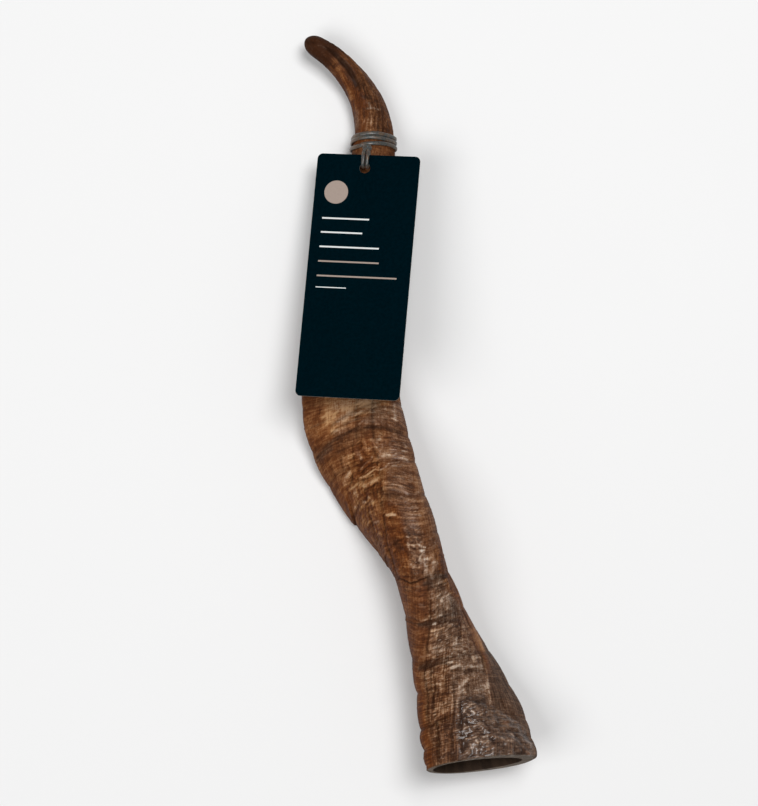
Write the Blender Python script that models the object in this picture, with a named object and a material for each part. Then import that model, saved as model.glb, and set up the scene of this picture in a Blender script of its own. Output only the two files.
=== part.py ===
"""A ram's horn, hollow at its sawn base, with a card tag held on by an elastic band.

Metres, +Z up. The horn lies on the plane z = 0 as it rests on a table, with its tip towards +Y and its
sawn base towards -Y. The origin is the middle of the object's bounding box, on that plane.
"""

import math

import bmesh
import bpy
import numpy as np

MM = 0.001

# The horn's centre line and its flat, twisted section, from the sawn base to the tip. All in mm, the twist in
# degrees: at 0 the blunt edge faces +X and the keel -X, and it grows as the blunt edge turns up towards +Z.
# The first station is the sawn rim, and all distances from the base are counted from the second.
STATIONS = (
    # y, x, z, half width, half thickness, twist
    (-156.9, 28.6, 34.75, 25.4, 12.7, 169.0),
    (-155.0, 28.3, 34.0, 25.2, 12.8, 166.0),
    (-140.0, 25.0, 27.0, 24.6, 12.7, 157.0),
    (-122.0, 19.8, 22.6, 23.3, 12.4, 140.0),
    (-104.0, 13.7, 21.0, 22.7, 12.2, 120.0),
    (-87.0, 7.7, 22.0, 22.5, 12.0, 101.0),
    (-75.0, 2.4, 22.4, 22.4, 11.5, 87.0),
    (-62.0, -4.0, 21.2, 22.3, 12.2, 67.0),
    (-48.0, -11.2, 17.9, 22.2, 12.2, 52.0),
    (-32.0, -18.8, 13.4, 22.0, 11.7, 31.0),
    (-16.0, -25.0, 12.4, 22.0, 11.2, 11.0),
    (0.0, -28.6, 12.9, 21.9, 10.8, -6.0),
    (20.0, -29.6, 15.4, 20.2, 10.5, -32.0),
    (45.0, -27.3, 17.6, 17.2, 9.9, -70.0),
    (70.0, -23.8, 15.0, 14.0, 9.2, -110.0),
    (92.0, -20.7, 10.5, 11.6, 8.6, -145.0),
    (111.0, -18.9, 11.0, 9.7, 7.9, -172.0),
    (125.0, -18.8, 8.9, 8.4, 7.3, -190.0),
    (137.0, -22.1, 7.9, 7.4, 6.7, -210.0),
    (146.0, -27.6, 8.7, 6.5, 6.1, -228.0),
    (153.0, -34.4, 10.2, 5.8, 5.4, -243.0),
    (162.3, -49.1, 13.0, 4.5, 4.25, -261.0),
)
TIP_ROUNDING = 5.4  # the last stretch over which the tip closes to a point
KEEL_SHARPNESS = 0.30  # 0 gives an ellipse, and more draws the keel out thinner than the blunt edge
SHARPNESS_GROWS = 34.0  # mm from the sawn rim, where the keel is as thick as the blunt edge, to its whole sharpness

# Two blunt corners run along the horn, at these angles round the section: 0 is the blunt edge, 180 the keel.
CORNERS = (
    # angle, height in mm, half width in degrees
    (-66.0, 0.45, 26.0),
    (97.0, 0.55, 26.0),
)
CORNERS_FADE = 120.0  # mm before the tip's end over which they go

# Growth rings, as distances from the sawn base in mm. The horn swells between one edge and the next.
RING_EDGES = (
    0, 7.5, 19, 37, 52.5, 72, 88.5, 104, 121, 138, 152, 168.5, 185, 202, 218, 233, 247, 260, 271, 281, 292, 304,
)
RING_SWELL = (
    # distance from the base, height of the swelling
    (0.0, 0.55),
    (120.0, 0.60),
    (200.0, 0.40),
    (281.0, 0.35),
    (304.0, 0.0),
    (400.0, 0.0),
)
RING_ROWS = (0.0, 0.12, 0.5, 0.88)  # where rows of faces lie between one ring's edge and the next
SMOOTH_ROW = 4.6  # spacing of rows on the smooth tip
KEEL_LAG = 0.78  # how much nearer the base a growth line lies on the keel, as a share of the half width
BLUNT_LAG = 0.11  # and the same on the blunt edge, where lines dip within BLUNT_SPREAD degrees
BLUNT_SPREAD = 32.0
LAG_GROWS = 60.0  # mm from the sawn base over which the lag grows to its whole
LAG_FADES = 40.0  # and before the tip's end over which it goes
LIP_HEIGHT = 0.5  # the keel's corner spreads a little at the sawn rim
LIP_LENGTH = 9.0

SIDES = 36
CAVITY_SIDES = SIDES // 2
CAVITY_DEPTH = 185.0
CAVITY_ROWS = 20
CAVITY_ROUNDING = 9.0
RIM_AT_KEEL = 7.6  # thickness of the wall at the sawn rim
RIM_AT_BLUNT_EDGE = 3.8
RIM_AT_UPPER_FACE = 5.0
RIM_AT_LOWER_FACE = 3.2
CAVITY_TAPER = 0.62  # share of the cavity's width that is lost on the way to its end

# The card tag: its size and how it lies, with its lower end on the horn's hump.
TAG_WIDTH = 46.0
TAG_LENGTH = 110.0
TAG_THICKNESS = 0.6
TAG_CORNER = 2.4
TAG_CORNER_STEPS = 6
TAG_HOLE = 4.8
TAG_HOLE_SIDES = 24
TAG_HOLE_DOWN = 6.1  # from the top edge to the hole's centre
TAG_HOLE_LEFT = 1.4  # from the tag's middle line to the hole's centre
TAG_TURN = -3.0  # degrees about the upright
TAG_SLOPE = 12.0  # degrees by which its lower end stands higher than its upper end
TAG_ROLL = 10.0  # degrees by which its right side stands higher than its left
TAG_TOP_MIDDLE = (-20.5, 110.1, 22.5)  # middle of its top edge, on its back

# The elastic band: turns round the horn, a strand back to its knot, and two strands through the tag's hole.
BAND_RADIUS = 0.85
BAND_GAP = 0.45  # clear of the horn
TOP_ANGLE = 92.0  # angle round the section that faces up where the band lies
BAND_ROUTE = (
    # turns from the top by way of the right side, distance from the base, how far it is lifted off the horn
    (-0.08, 284.2, 0.5),
    (0.0, 285.0, 0.2),
    (0.1, 285.6, 0.0),
    (0.25, 284.8, 0.0),
    (0.5, 285.6, 0.0),
    (0.75, 286.4, 0.0),
    (1.0, 287.6, 0.0),
    (1.25, 287.2, 0.0),
    (1.5, 287.6, 0.0),
    (1.75, 288.2, 0.0),
    (2.0, 289.4, 0.0),
    (2.25, 289.0, 0.0),
    (2.45, 289.5, 0.0),
    (2.62, 289.7, 0.0),
)
BAND_RETURN = (
    (0.98, 284.8, 0.2),
    (0.88, 283.6, 0.1),
    (0.75, 283.5, 0.0),
    (0.6, 284.4, 0.0),
    (0.48, 285.2, 0.0),
)
BAND_STEPS_PER_TURN = 20
KNOT_ALONG = 282.9  # distance from the base
KNOT_SIDE = 81.0  # angle round the section
KNOT_LIFT = 0.7
KNOT_SIZE = (2.1, 1.9, 1.5)  # half its width, length and height
LEG_RADIUS = 0.8
LEG_APART = 1.86  # between the two strands through the hole
LEG_ENDS_APART = 1.7  # between the upper and the lower end of a strand, inside the knot
LEG_ROUTE = (
    # mm below the tag's top edge, and mm in front of its back
    (-0.6, 1.5),
    (1.0, 1.95),
    (3.0, 1.9),
    (4.8, 1.4),
    (5.4, 0.3),
    (4.9, -0.95),
    (3.0, -1.3),
    (1.0, -1.25),
    (-1.0, -1.0),
)
LEG_STEPS = 2  # straight pieces between one point of the route and the next

FINISHES = {
    # colour (linear RGB), roughness, metallic
    "horn": ((0.150, 0.072, 0.036), 0.42, 0.0),
    "tag": ((0.003, 0.008, 0.011), 0.55, 0.0),
    "elastic_band": ((0.155, 0.160, 0.155), 0.38, 0.0),
}


def through(knots, values, at):
    """A smooth curve through the values, read at the distances in at: cubic pieces with matching slopes."""
    knots = np.asarray(knots, float)
    values = np.asarray(values, float).reshape(len(knots), -1)
    gaps = np.diff(knots)[:, None]
    chords = np.diff(values, axis=0) / gaps
    slopes = np.empty_like(values)
    slopes[1:-1] = (chords[:-1] * gaps[1:] + chords[1:] * gaps[:-1]) / (gaps[1:] + gaps[:-1])
    slopes[0] = 1.5 * chords[0] - 0.5 * slopes[1]
    slopes[-1] = 1.5 * chords[-1] - 0.5 * slopes[-2]
    at = np.asarray(at, float).ravel()
    piece = np.clip(np.searchsorted(knots, at, side="right") - 1, 0, len(knots) - 2)
    span = gaps[piece]
    u = (at - knots[piece])[:, None] / span
    return (
        (2 * u**3 - 3 * u**2 + 1) * values[piece]
        + (u**3 - 2 * u**2 + u) * span * slopes[piece]
        + (3 * u**2 - 2 * u**3) * values[piece + 1]
        + (u**3 - u**2) * span * slopes[piece + 1]
    )


def ease(u):
    """0 below 0, 1 above 1, and smooth between."""
    u = np.clip(u, 0.0, 1.0)
    return u * u * (3 - 2 * u)


class Horn:
    """The horn's outer form, read by distance from the sawn base and angle round the section."""

    def __init__(self):
        rows = np.array(STATIONS)
        self.values = np.column_stack((rows[:, 1], rows[:, 0], rows[:, 2:5], np.radians(rows[:, 5])))
        steps = np.linalg.norm(np.diff(self.values[:, :3], axis=0), axis=1)
        self.knots = np.concatenate(([0.0], np.cumsum(steps))) - steps[0]
        self.start = float(self.knots[0])
        self.length = float(self.knots[-1])

    def frame(self, along):
        """The centre, the direction to the blunt edge, the direction across it, and the two half sizes."""
        along = np.asarray(along, float)
        read = through(self.knots, self.values, along)
        step = 0.5
        ahead = through(self.knots, self.values, np.minimum(along + step, self.length))[:, :3]
        behind = through(self.knots, self.values, np.maximum(along - step, self.start))[:, :3]
        forward = ahead - behind
        forward /= np.linalg.norm(forward, axis=1)[:, None]
        right = np.cross(forward, (0.0, 0.0, 1.0))
        right /= np.linalg.norm(right, axis=1)[:, None]
        up = np.cross(right, forward)
        twist = read[:, 5:6]
        blunt = np.cos(twist) * right + np.sin(twist) * up
        across = np.sin(twist) * right - np.cos(twist) * up
        return read[:, :3], blunt, across, read[:, 3], read[:, 4]

    def lag(self, row, angle):
        """How much nearer the base a growth line lies, at this angle, than its distance says."""
        fade = ease(row / LAG_GROWS) * ease((self.length - row) / LAG_FADES)
        wide = np.interp(row, self.knots, self.values[:, 3])
        from_blunt = (np.degrees(angle) + 180.0) % 360.0 - 180.0
        dip = BLUNT_LAG * np.exp(-((from_blunt / BLUNT_SPREAD) ** 2))
        return fade * wide * (KEEL_LAG * ((1 - np.cos(angle)) / 2) ** 2 + dip)

    def relief(self, row, angle):
        """Height of the rings and the long corners over the plain section."""
        edges = np.array(RING_EDGES, float)
        ring = np.clip(np.searchsorted(edges, row, side="right") - 1, 0, len(edges) - 2)
        u = np.clip((row - edges[ring]) / (edges[ring + 1] - edges[ring]), 0.0, 1.0)
        heights = np.array(RING_SWELL)
        swell = np.interp(row, heights[:, 0], heights[:, 1]) * (np.maximum(np.sin(math.pi * u), 0) ** 0.6 - 0.5)
        corner = 0.0
        for middle, height, half in CORNERS:
            away = np.degrees(angle) - middle
            away = (away + 180.0) % 360.0 - 180.0
            corner = corner + height * np.exp(-((away / half) ** 2))
        lip = LIP_HEIGHT * (1 - ease(row / LIP_LENGTH)) * np.maximum(0.0, -np.cos(angle)) ** 2
        return swell + lip + corner * ease((self.length - row) / CORNERS_FADE)

    def outline(self, along, angle, proud=0.0):
        """Points on the surface, for arrays of distance and angle of one shape, moved out by proud."""
        shape = np.shape(along)
        flat = np.ravel(along)
        centre, blunt, across, wide, thick = self.frame(flat)
        angle = np.ravel(angle)
        run_out = np.clip((flat - (self.length - TIP_ROUNDING)) / TIP_ROUNDING, 0.0, 1.0)
        closing = np.sqrt(1 - run_out**2)
        out = np.ravel(proud)
        p = (wide + out) * np.cos(angle) * closing
        sharp = KEEL_SHARPNESS * ease(flat / SHARPNESS_GROWS)
        drawn = (1 + sharp * np.cos(angle)) / (1 + 0.18 * sharp)
        q = (thick * drawn + out) * np.sin(angle) * closing
        points = centre + p[:, None] * blunt + q[:, None] * across
        return points.reshape(*shape, 3)

    def skin(self, row, angle):
        """Points of the finished outer surface at growth rows, with its rings and corners."""
        along = np.clip(row - self.lag(row, angle), self.start, self.length)
        return self.outline(along, angle, self.relief(row, angle))


def growth_rows(start, length):
    """Where the rows of faces lie: the rim, a few in each ring, the smooth tip evenly, then round its end."""
    rows = [start]
    for low, high in zip(RING_EDGES[:-1], RING_EDGES[1:]):
        rows += [low + share * (high - low) for share in RING_ROWS]
    smooth = length - TIP_ROUNDING - RING_EDGES[-1]
    count = round(smooth / SMOOTH_ROW)
    rows += [RING_EDGES[-1] + smooth * n / count for n in range(count)]
    rows += [length - TIP_ROUNDING * (1 - math.sin(math.radians(turn))) for turn in (0, 25, 48, 68)]
    return np.array(rows)


def cavity_rows(horn):
    """Rings of the hollow, from the sawn rim inwards, each in the plane of the section that it lies in."""
    along = horn.start + (CAVITY_DEPTH - horn.start) * np.linspace(0.0, 1.0, CAVITY_ROWS) ** 0.9
    centre, blunt, across, wide, thick = horn.frame(along)
    share = 1 - CAVITY_TAPER * along / CAVITY_DEPTH
    end = np.clip((along - (CAVITY_DEPTH - CAVITY_ROUNDING)) / CAVITY_ROUNDING, 0.0, 1.0)
    share = share * np.sqrt(1 - 0.9 * end**2)
    half_wide = (wide - (RIM_AT_KEEL + RIM_AT_BLUNT_EDGE) / 2) * share
    half_thick = (thick - (RIM_AT_UPPER_FACE + RIM_AT_LOWER_FACE) / 2) * share
    to_blunt = (RIM_AT_KEEL - RIM_AT_BLUNT_EDGE) / 2
    to_lower = (RIM_AT_LOWER_FACE - RIM_AT_UPPER_FACE) / 2
    angle = np.radians(np.arange(CAVITY_SIDES) * 360.0 / CAVITY_SIDES)
    p = to_blunt + half_wide[:, None] * np.cos(angle)
    q = to_lower + half_thick[:, None] * np.sin(angle) * (1 + 0.15 * np.cos(angle))
    return centre[:, None] + p[..., None] * blunt[:, None] + q[..., None] * across[:, None]


def add_rings(mesh, rings):
    """Verts for each ring of points, joined ring to ring by quads."""
    verts = [[mesh.verts.new(point * MM) for point in ring] for ring in rings]
    for low, high in zip(verts[:-1], verts[1:]):
        for i, corner in enumerate(low):
            j = (i + 1) % len(low)
            mesh.faces.new((corner, low[j], high[j], high[i]))
    return verts


def close_to_point(mesh, ring, point):
    """Closes a ring to one point."""
    pole = mesh.verts.new(point * MM)
    for i, corner in enumerate(ring):
        mesh.faces.new((corner, ring[(i + 1) % len(ring)], pole))


def material(name):
    """A plain finish for one part."""
    colour, roughness, metallic = FINISHES.get(name, FINISHES["elastic_band"])
    made = bpy.data.materials.new(name)
    made.use_nodes = True
    shader = made.node_tree.nodes["Principled BSDF"]
    shader.inputs["Base Color"].default_value = (*colour, 1.0)
    shader.inputs["Roughness"].default_value = roughness
    shader.inputs["Metallic"].default_value = metallic
    return made


def add_object(name, mesh, smooth_angle=40.0):
    """A named object from a bmesh, shaded smooth except over its edges."""
    bmesh.ops.recalc_face_normals(mesh, faces=mesh.faces)
    data = bpy.data.meshes.new(name)
    mesh.to_mesh(data)
    mesh.free()
    data.shade_smooth()
    data.set_sharp_from_angle(angle=math.radians(smooth_angle))
    data.materials.append(material(name))
    made = bpy.data.objects.new(name, data)
    bpy.context.scene.collection.objects.link(made)
    return made


def add_horn(horn):
    """One closed solid: the ringed skin, the sawn rim and the hollow."""
    mesh = bmesh.new()
    rows = growth_rows(horn.start, horn.length)
    angle = np.radians(np.arange(SIDES) * 360.0 / SIDES)
    row, turn = np.meshgrid(rows, angle, indexing="ij")
    skin = add_rings(mesh, horn.skin(row, turn))
    tip = horn.frame([horn.length])[0][0]
    close_to_point(mesh, skin[-1], tip)
    hollow_rings = cavity_rows(horn)
    hollow = add_rings(mesh, hollow_rings)
    close_to_point(mesh, hollow[-1], hollow_rings[-1].mean(axis=0))
    rim, mouth = skin[0], hollow[0]
    for i in range(CAVITY_SIDES):
        j = (i + 1) % CAVITY_SIDES
        mesh.faces.new((rim[2 * i], rim[2 * i + 1], rim[2 * j], mouth[j], mouth[i]))
    return add_object("horn", mesh)


def tag_axes():
    """The tag's own right, down and facing directions, as it lies."""
    turn, slope, roll = (math.radians(degrees) for degrees in (TAG_TURN, TAG_SLOPE, TAG_ROLL))
    right = np.array((math.cos(roll), 0.0, math.sin(roll)))
    down = np.array((
        -math.sin(roll) * math.sin(slope),
        -math.cos(slope),
        math.cos(roll) * math.sin(slope),
    ))
    spin = np.array((
        (math.cos(turn), -math.sin(turn), 0.0),
        (math.sin(turn), math.cos(turn), 0.0),
        (0.0, 0.0, 1.0),
    ))
    return spin @ right, spin @ down, spin @ np.cross(right, -down)


def tag_point(across, down, proud):
    """A point of the tag: mm right of its middle line, mm below its top edge, mm in front of its back."""
    right_way, down_way, facing = tag_axes()
    return np.array(TAG_TOP_MIDDLE) + across * right_way + down * down_way + proud * facing


def add_tag():
    """A card with round corners and one hole."""
    half = TAG_WIDTH / 2 - TAG_CORNER
    outline = []
    corners = (
        (half, TAG_CORNER, -90),
        (half, TAG_LENGTH - TAG_CORNER, 0),
        (-half, TAG_LENGTH - TAG_CORNER, 90),
        (-half, TAG_CORNER, 180),
    )
    for middle, down, first in corners:
        for n in range(TAG_CORNER_STEPS + 1):
            turn = math.radians(first + 90.0 * n / TAG_CORNER_STEPS)
            outline.append((middle + TAG_CORNER * math.cos(turn), down + TAG_CORNER * math.sin(turn)))
    hole = []
    for n in range(TAG_HOLE_SIDES):
        turn = math.tau * n / TAG_HOLE_SIDES
        across = TAG_HOLE / 2 * math.cos(turn) - TAG_HOLE_LEFT
        hole.append((across, TAG_HOLE_DOWN + TAG_HOLE / 2 * math.sin(turn)))
    mesh = bmesh.new()
    loops = []
    for ring in (outline, hole):
        verts = [mesh.verts.new(tag_point(across, down, 0.0) * MM) for across, down in ring]
        loops += [mesh.edges.new((vert, verts[(n + 1) % len(verts)])) for n, vert in enumerate(verts)]
    bmesh.ops.triangle_fill(mesh, edges=loops, use_beauty=True, use_dissolve=False)
    back = list(mesh.faces)
    lifted = bmesh.ops.extrude_face_region(mesh, geom=back, use_keep_orig=True)["geom"]
    front = [item for item in lifted if isinstance(item, bmesh.types.BMVert)]
    bmesh.ops.translate(mesh, verts=front, vec=tag_axes()[2] * TAG_THICKNESS * MM)
    return add_object("tag", mesh)


def on_horn(horn, route, steps_per_turn):
    """Points of a strand along its route round the horn."""
    route = np.array(route)
    ends = route[0, 0], route[-1, 0]
    count = max(2, round(abs(ends[1] - ends[0]) * steps_per_turn))
    at = np.linspace(*ends, count + 1)
    order = np.argsort(route[:, 0])
    along, lift = through(route[order, 0], route[order, 1:], at).T
    angle = np.radians(TOP_ANGLE + 360.0 * at)
    proud = BAND_RADIUS + BAND_GAP + np.maximum(lift, 0.0) + horn.relief(along, angle)
    return horn.outline(along, angle, proud)


def leg_points(knot, side):
    """Points of one strand from the knot, over the tag's top edge, through its hole and back."""
    to_end = np.array((0.0, 0.0, LEG_ENDS_APART / 2))
    stops = [knot + to_end]
    for down, proud in LEG_ROUTE:
        stops.append(tag_point(-TAG_HOLE_LEFT + side * LEG_APART / 2, down, proud))
    stops.append(knot - to_end)
    knots = np.concatenate(([0.0], np.cumsum(np.linalg.norm(np.diff(stops, axis=0), axis=1))))
    at = np.interp(np.arange(LEG_STEPS * (len(stops) - 1) + 1) / LEG_STEPS, np.arange(len(stops)), knots)
    return through(knots, stops, at)


def add_tube(name, points, radius):
    """A round tube with closed ends along the points, as a mesh."""
    curve = bpy.data.curves.new(name, "CURVE")
    curve.dimensions = "3D"
    curve.bevel_depth = radius * MM
    curve.bevel_resolution = 2
    curve.use_fill_caps = True
    spline = curve.splines.new("POLY")
    spline.points.add(len(points) - 1)
    for place, point in zip(spline.points, points):
        place.co = (*(point * MM), 1.0)
    route = bpy.data.objects.new(name + "_route", curve)
    bpy.context.scene.collection.objects.link(route)
    bpy.context.view_layer.update()
    data = bpy.data.meshes.new_from_object(route.evaluated_get(bpy.context.evaluated_depsgraph_get()))
    bpy.data.objects.remove(route, do_unlink=True)
    data.name = name
    mesh = bmesh.new()
    mesh.from_mesh(data)
    bmesh.ops.remove_doubles(mesh, verts=mesh.verts, dist=0.00001)
    return add_object(name, mesh)


def add_knot(name, middle):
    """The small lump where the strands meet."""
    mesh = bmesh.new()
    bmesh.ops.create_icosphere(mesh, subdivisions=2, radius=1.0)
    for vert in mesh.verts:
        vert.co = [(middle[axis] + vert.co[axis] * KNOT_SIZE[axis]) * MM for axis in range(3)]
    return add_object(name, mesh)


def join_to(piece, guides):
    """Unites guides with a piece: the guides stay hidden, in wire."""
    for guide in guides:
        guide.hide_render = True
        guide.display_type = "WIRE"
        union = piece.modifiers.new("join " + guide.name, "BOOLEAN")
        union.operation = "UNION"
        union.object = guide


def add_band(horn):
    """The elastic band, one solid of its turns, its knot and the strands through the tag."""
    lift = BAND_RADIUS + BAND_GAP + KNOT_LIFT
    knot = horn.outline([KNOT_ALONG], [math.radians(KNOT_SIDE)], lift)[0]
    band = add_tube("elastic_band", on_horn(horn, BAND_ROUTE, BAND_STEPS_PER_TURN), BAND_RADIUS)
    guides = [
        add_knot("band_knot", knot),
        add_tube("band_return", on_horn(horn, BAND_RETURN, BAND_STEPS_PER_TURN), BAND_RADIUS),
        add_tube("band_left_leg", leg_points(knot, -1), LEG_RADIUS),
        add_tube("band_right_leg", leg_points(knot, 1), LEG_RADIUS),
    ]
    join_to(band, guides)
    return band, guides


def bounds(objects):
    """Lowest and highest corner of the objects as they are shown, in metres."""
    graph = bpy.context.evaluated_depsgraph_get()
    corners = []
    for item in objects:
        shown = item.evaluated_get(graph)
        corners += [shown.matrix_world @ vert.co for vert in shown.to_mesh().vertices]
    corners = np.array(corners)
    return corners.min(axis=0), corners.max(axis=0)


def stand_on_origin(pieces, guides):
    """Moves all by one step, so the origin is the middle of the bounding box's bottom."""
    bpy.context.view_layer.update()
    low, high = bounds(pieces)
    step = np.array(((low[0] + high[0]) / 2, (low[1] + high[1]) / 2, low[2]))
    for item in pieces + guides:
        item.location = -step


def main():
    for item in list(bpy.data.objects):
        bpy.data.objects.remove(item, do_unlink=True)
    horn = Horn()
    band, guides = add_band(horn)
    stand_on_origin([add_horn(horn), add_tag(), band], guides)


if __name__ == "__main__":
    main()
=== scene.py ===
"""A long twisted ram's horn on its side, with a plain card tag held near its tip by an elastic band.

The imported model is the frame. This script dresses it: the horn's growth rings, flakes, creases and beads,
the card with its plain print, the rubber strands, and a pale floor with soft light. The settings are in
metres, and the form's own tables are in mm and degrees.
"""

import math
from contextlib import contextmanager

import bpy
import numpy as np
from mathutils import Matrix, Vector


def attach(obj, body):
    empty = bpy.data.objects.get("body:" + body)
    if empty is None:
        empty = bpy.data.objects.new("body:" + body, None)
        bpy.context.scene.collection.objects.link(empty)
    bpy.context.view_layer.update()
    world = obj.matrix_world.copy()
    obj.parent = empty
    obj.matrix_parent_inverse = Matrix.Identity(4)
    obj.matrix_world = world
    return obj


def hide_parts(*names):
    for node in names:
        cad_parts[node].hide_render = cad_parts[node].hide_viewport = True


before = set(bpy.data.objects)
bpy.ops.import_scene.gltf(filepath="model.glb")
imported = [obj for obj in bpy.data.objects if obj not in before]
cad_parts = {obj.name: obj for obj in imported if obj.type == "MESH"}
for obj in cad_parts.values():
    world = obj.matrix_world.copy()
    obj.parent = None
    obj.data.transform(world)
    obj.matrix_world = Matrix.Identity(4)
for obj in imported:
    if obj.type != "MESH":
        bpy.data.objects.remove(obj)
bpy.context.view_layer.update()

bl_info = {
    "name": "Ram Horn",
    "version": (1, 0, 0),
    "blender": (4, 5, 0),
    "location": "View3D > Sidebar > Ram Horn",
    "description": "Builds a ram's horn with its card tag and elastic band",
    "category": "Object",
}

MM = 0.001
ORIGIN = np.array((0.5627, 0.9307, -0.368))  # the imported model's origin, in the tables' mm

# How the photo sees the form: from where, in the tables' mm, and its middle and its scale in pixels
SEEN_FROM = (-16.28, 0.88, 1225.0)
PICTURE_MIDDLE = (379.0, 403.0)
PIXELS_PER_MM_AT_1_MM = 2727.3

# The horn's centre line and its flat, twisted section, from the sawn rim to the tip. Distances from the base
# are counted from the second station.
STATIONS = (
    # y, x, z, half width, half thickness, twist
    (-156.9, 28.6, 34.75, 25.4, 12.7, 169.0),
    (-155.0, 28.3, 34.0, 25.2, 12.8, 166.0),
    (-140.0, 25.0, 27.0, 24.6, 12.7, 157.0),
    (-122.0, 19.8, 22.6, 23.3, 12.4, 140.0),
    (-104.0, 13.7, 21.0, 22.7, 12.2, 120.0),
    (-87.0, 7.7, 22.0, 22.5, 12.0, 101.0),
    (-75.0, 2.4, 22.4, 22.4, 11.5, 87.0),
    (-62.0, -4.0, 21.2, 22.3, 12.2, 67.0),
    (-48.0, -11.2, 17.9, 22.2, 12.2, 52.0),
    (-32.0, -18.8, 13.4, 22.0, 11.7, 31.0),
    (-16.0, -25.0, 12.4, 22.0, 11.2, 11.0),
    (0.0, -28.6, 12.9, 21.9, 10.8, -6.0),
    (20.0, -29.6, 15.4, 20.2, 10.5, -32.0),
    (45.0, -27.3, 17.6, 17.2, 9.9, -70.0),
    (70.0, -23.8, 15.0, 14.0, 9.2, -110.0),
    (92.0, -20.7, 10.5, 11.6, 8.6, -145.0),
    (111.0, -18.9, 11.0, 9.7, 7.9, -172.0),
    (125.0, -18.8, 8.9, 8.4, 7.3, -190.0),
    (137.0, -22.1, 7.9, 7.4, 6.7, -210.0),
    (146.0, -27.6, 8.7, 6.5, 6.1, -228.0),
    (153.0, -34.4, 10.2, 5.8, 5.4, -243.0),
    (162.3, -49.1, 13.0, 4.5, 4.25, -261.0),
)
LOOK_AHEAD = 0.5  # mm either way, for the direction of the centre line
TIP_ROUNDING = 5.4
KEEL_SHARPNESS = 0.30
SHARP_IS_THIN = 0.18  # how much thinner the section gets as its keel gets sharper
SHARPNESS_GROWS = 34.0
CORNERS = ((-66.0, 0.45, 26.0), (97.0, 0.55, 26.0))  # side, height, half width
CORNERS_FADE = 120.0
RING_EDGES = (
    0, 7.5, 19, 37, 52.5, 72, 88.5, 104, 121, 138, 152,
    168.5, 185, 202, 218, 233, 247, 260, 271, 281, 292, 304,
)
RING_SHARES = ((0, 120, 200, 281, 304), (0.95, 1.0, 0.7, 0.6, 0.0))  # at these distances, how high they are
RING_FULLNESS = 0.6  # below 1 a ring is full and the groove between two is narrow
KEEL_LAG = 0.78
BLUNT_LAG = 0.11
BLUNT_SPREAD = 32.0
LAG_GROWS = 60.0
LAG_FADES = 40.0
LIP_HEIGHT = 0.5
LIP_LENGTH = 9.0

# The hollow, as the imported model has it
CAVITY_DEPTH = 185.0
CAVITY_ROUNDING = 9.0
CAVITY_TAPER = 0.62
RIM_AT_KEEL = 7.6
RIM_AT_BLUNT_EDGE = 3.8
RIM_AT_UPPER_FACE = 3.0
RIM_AT_LOWER_FACE = 3.2
RIM_ROUNDING = 0.5  # how far the worn edge between the skin and the sawn rim is rounded
KEEL_ROUNDING = 2.0  # and how much more at the keel

# Mesh density
COLUMNS = 124
ROW_SPACING = ((0.0, 0.36), (172.0, 0.36), (184.0, 0.75), (280.0, 0.75), (290.0, 0.48), (343.0, 0.48))
TIP_ROWS = 9
RIM_ROWS = 6
CAVITY_ROWS = 26
CAVITY_GATHERED = 0.9  # below 1 its rows lie a little closer towards its blind end
MEAN_SECTION = (21.0, 10.5)  # half width and half thickness by which the columns are spread round
GATHERED = 0.42  # share by which the columns lie closer on the side that faces up
SKIN_RADIUS = 16.4  # mm, makes the skin's own coordinates true to size
CLEAR_OF_FLOOR = 0.00003  # m, the lowest that the skin may lie

# Layers of random grain: strength, length of a cell along the horn in mm, cells round the horn, seed
GRAINS = {
    "wander": (0.4, 12, 11, 11),
    "small wander": (0.14, 4, 34, 12),
    "line strength": (0.35, 6, 10, 14),
    "stripes": (1, 1, 9, 26),
    "crack wander": (0.003, 2, 60, 15),
    "broad crack wander": (0.006, 5, 30, 18),
    "patches": (1, 11, 9, 20),
    "lumps": (0.22, 16, 8, 21),
    "cords": (1, 26, 42, 22),
    "fibres": (1, 13, 110, 23),
    "knobs": (1, 1.4, 62, 24),
    "broad knobs": (0.5, 3.2, 30, 25),
    "creases": (0.72, 5, 3, 40),
    "hollow ribs": (0.12, 14, 17, 61),
}
LUMPS_END = 330.0
LUMPS_FADE = 30.0

# Growth lines: seed, least and most mm between two of them. Flakes: how many to a turn, seed.
FINE_LINES = (13, 1.05, 1.65)
BROAD_LINES = (17, 3.5, 6.5)
FLAKES = (26, 16)
BROAD_FLAKES = (17, 19)
CRACK_WIDTH = 0.16  # as a share of a flake

# How far the fine growth lines run on towards the tip, in mm: by distance from the base, and by side
LINES_SIDES = (-180, -135, -90, -45, 0, 45, 90, 135, 180)
LINES_RUN_ON = (
    # distance, then the run at each side
    (0, 0, 0, 0, 0, 0, -1, -0.5, 0, 0),
    (20, 0, 0, 0, 0, 0, -1.6, -1, 0, 0),
    (50, 10, 8.5, 5, 1.5, 0, -2.8, -1.5, 6, 10),
    (90, 12, 10.2, 6, 1.8, 0, -3.2, -1.5, 7.2, 12),
    (120, 17, 14.5, 8.5, 1.6, -2.8, -4.4, -1, 10.4, 17),
    (150, 19, 16.2, 9.5, 1.9, -2.8, -4.4, -0.5, 11.7, 19),
    (190, 18, 15.4, 9, 2.2, -1.5, -2.4, 1, 11, 18),
    (250, 10, 8.5, 5, 1.5, 0, 0, 1.2, 6.2, 10),
    (300, 4, 3.4, 2, 0.6, 0, 0, 0.5, 2.5, 4),
    (360, 0, 0, 0, 0, 0, 0, 0, 0, 0),
)

# The rings stand out more along the blunt edge near the base
SCALLOPS = 1.3
SCALLOPS_AT = -12.0
SCALLOPS_SPREAD = 42.0
SCALLOPS_END = 74.0
SCALLOPS_FADE = 22.0

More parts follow.
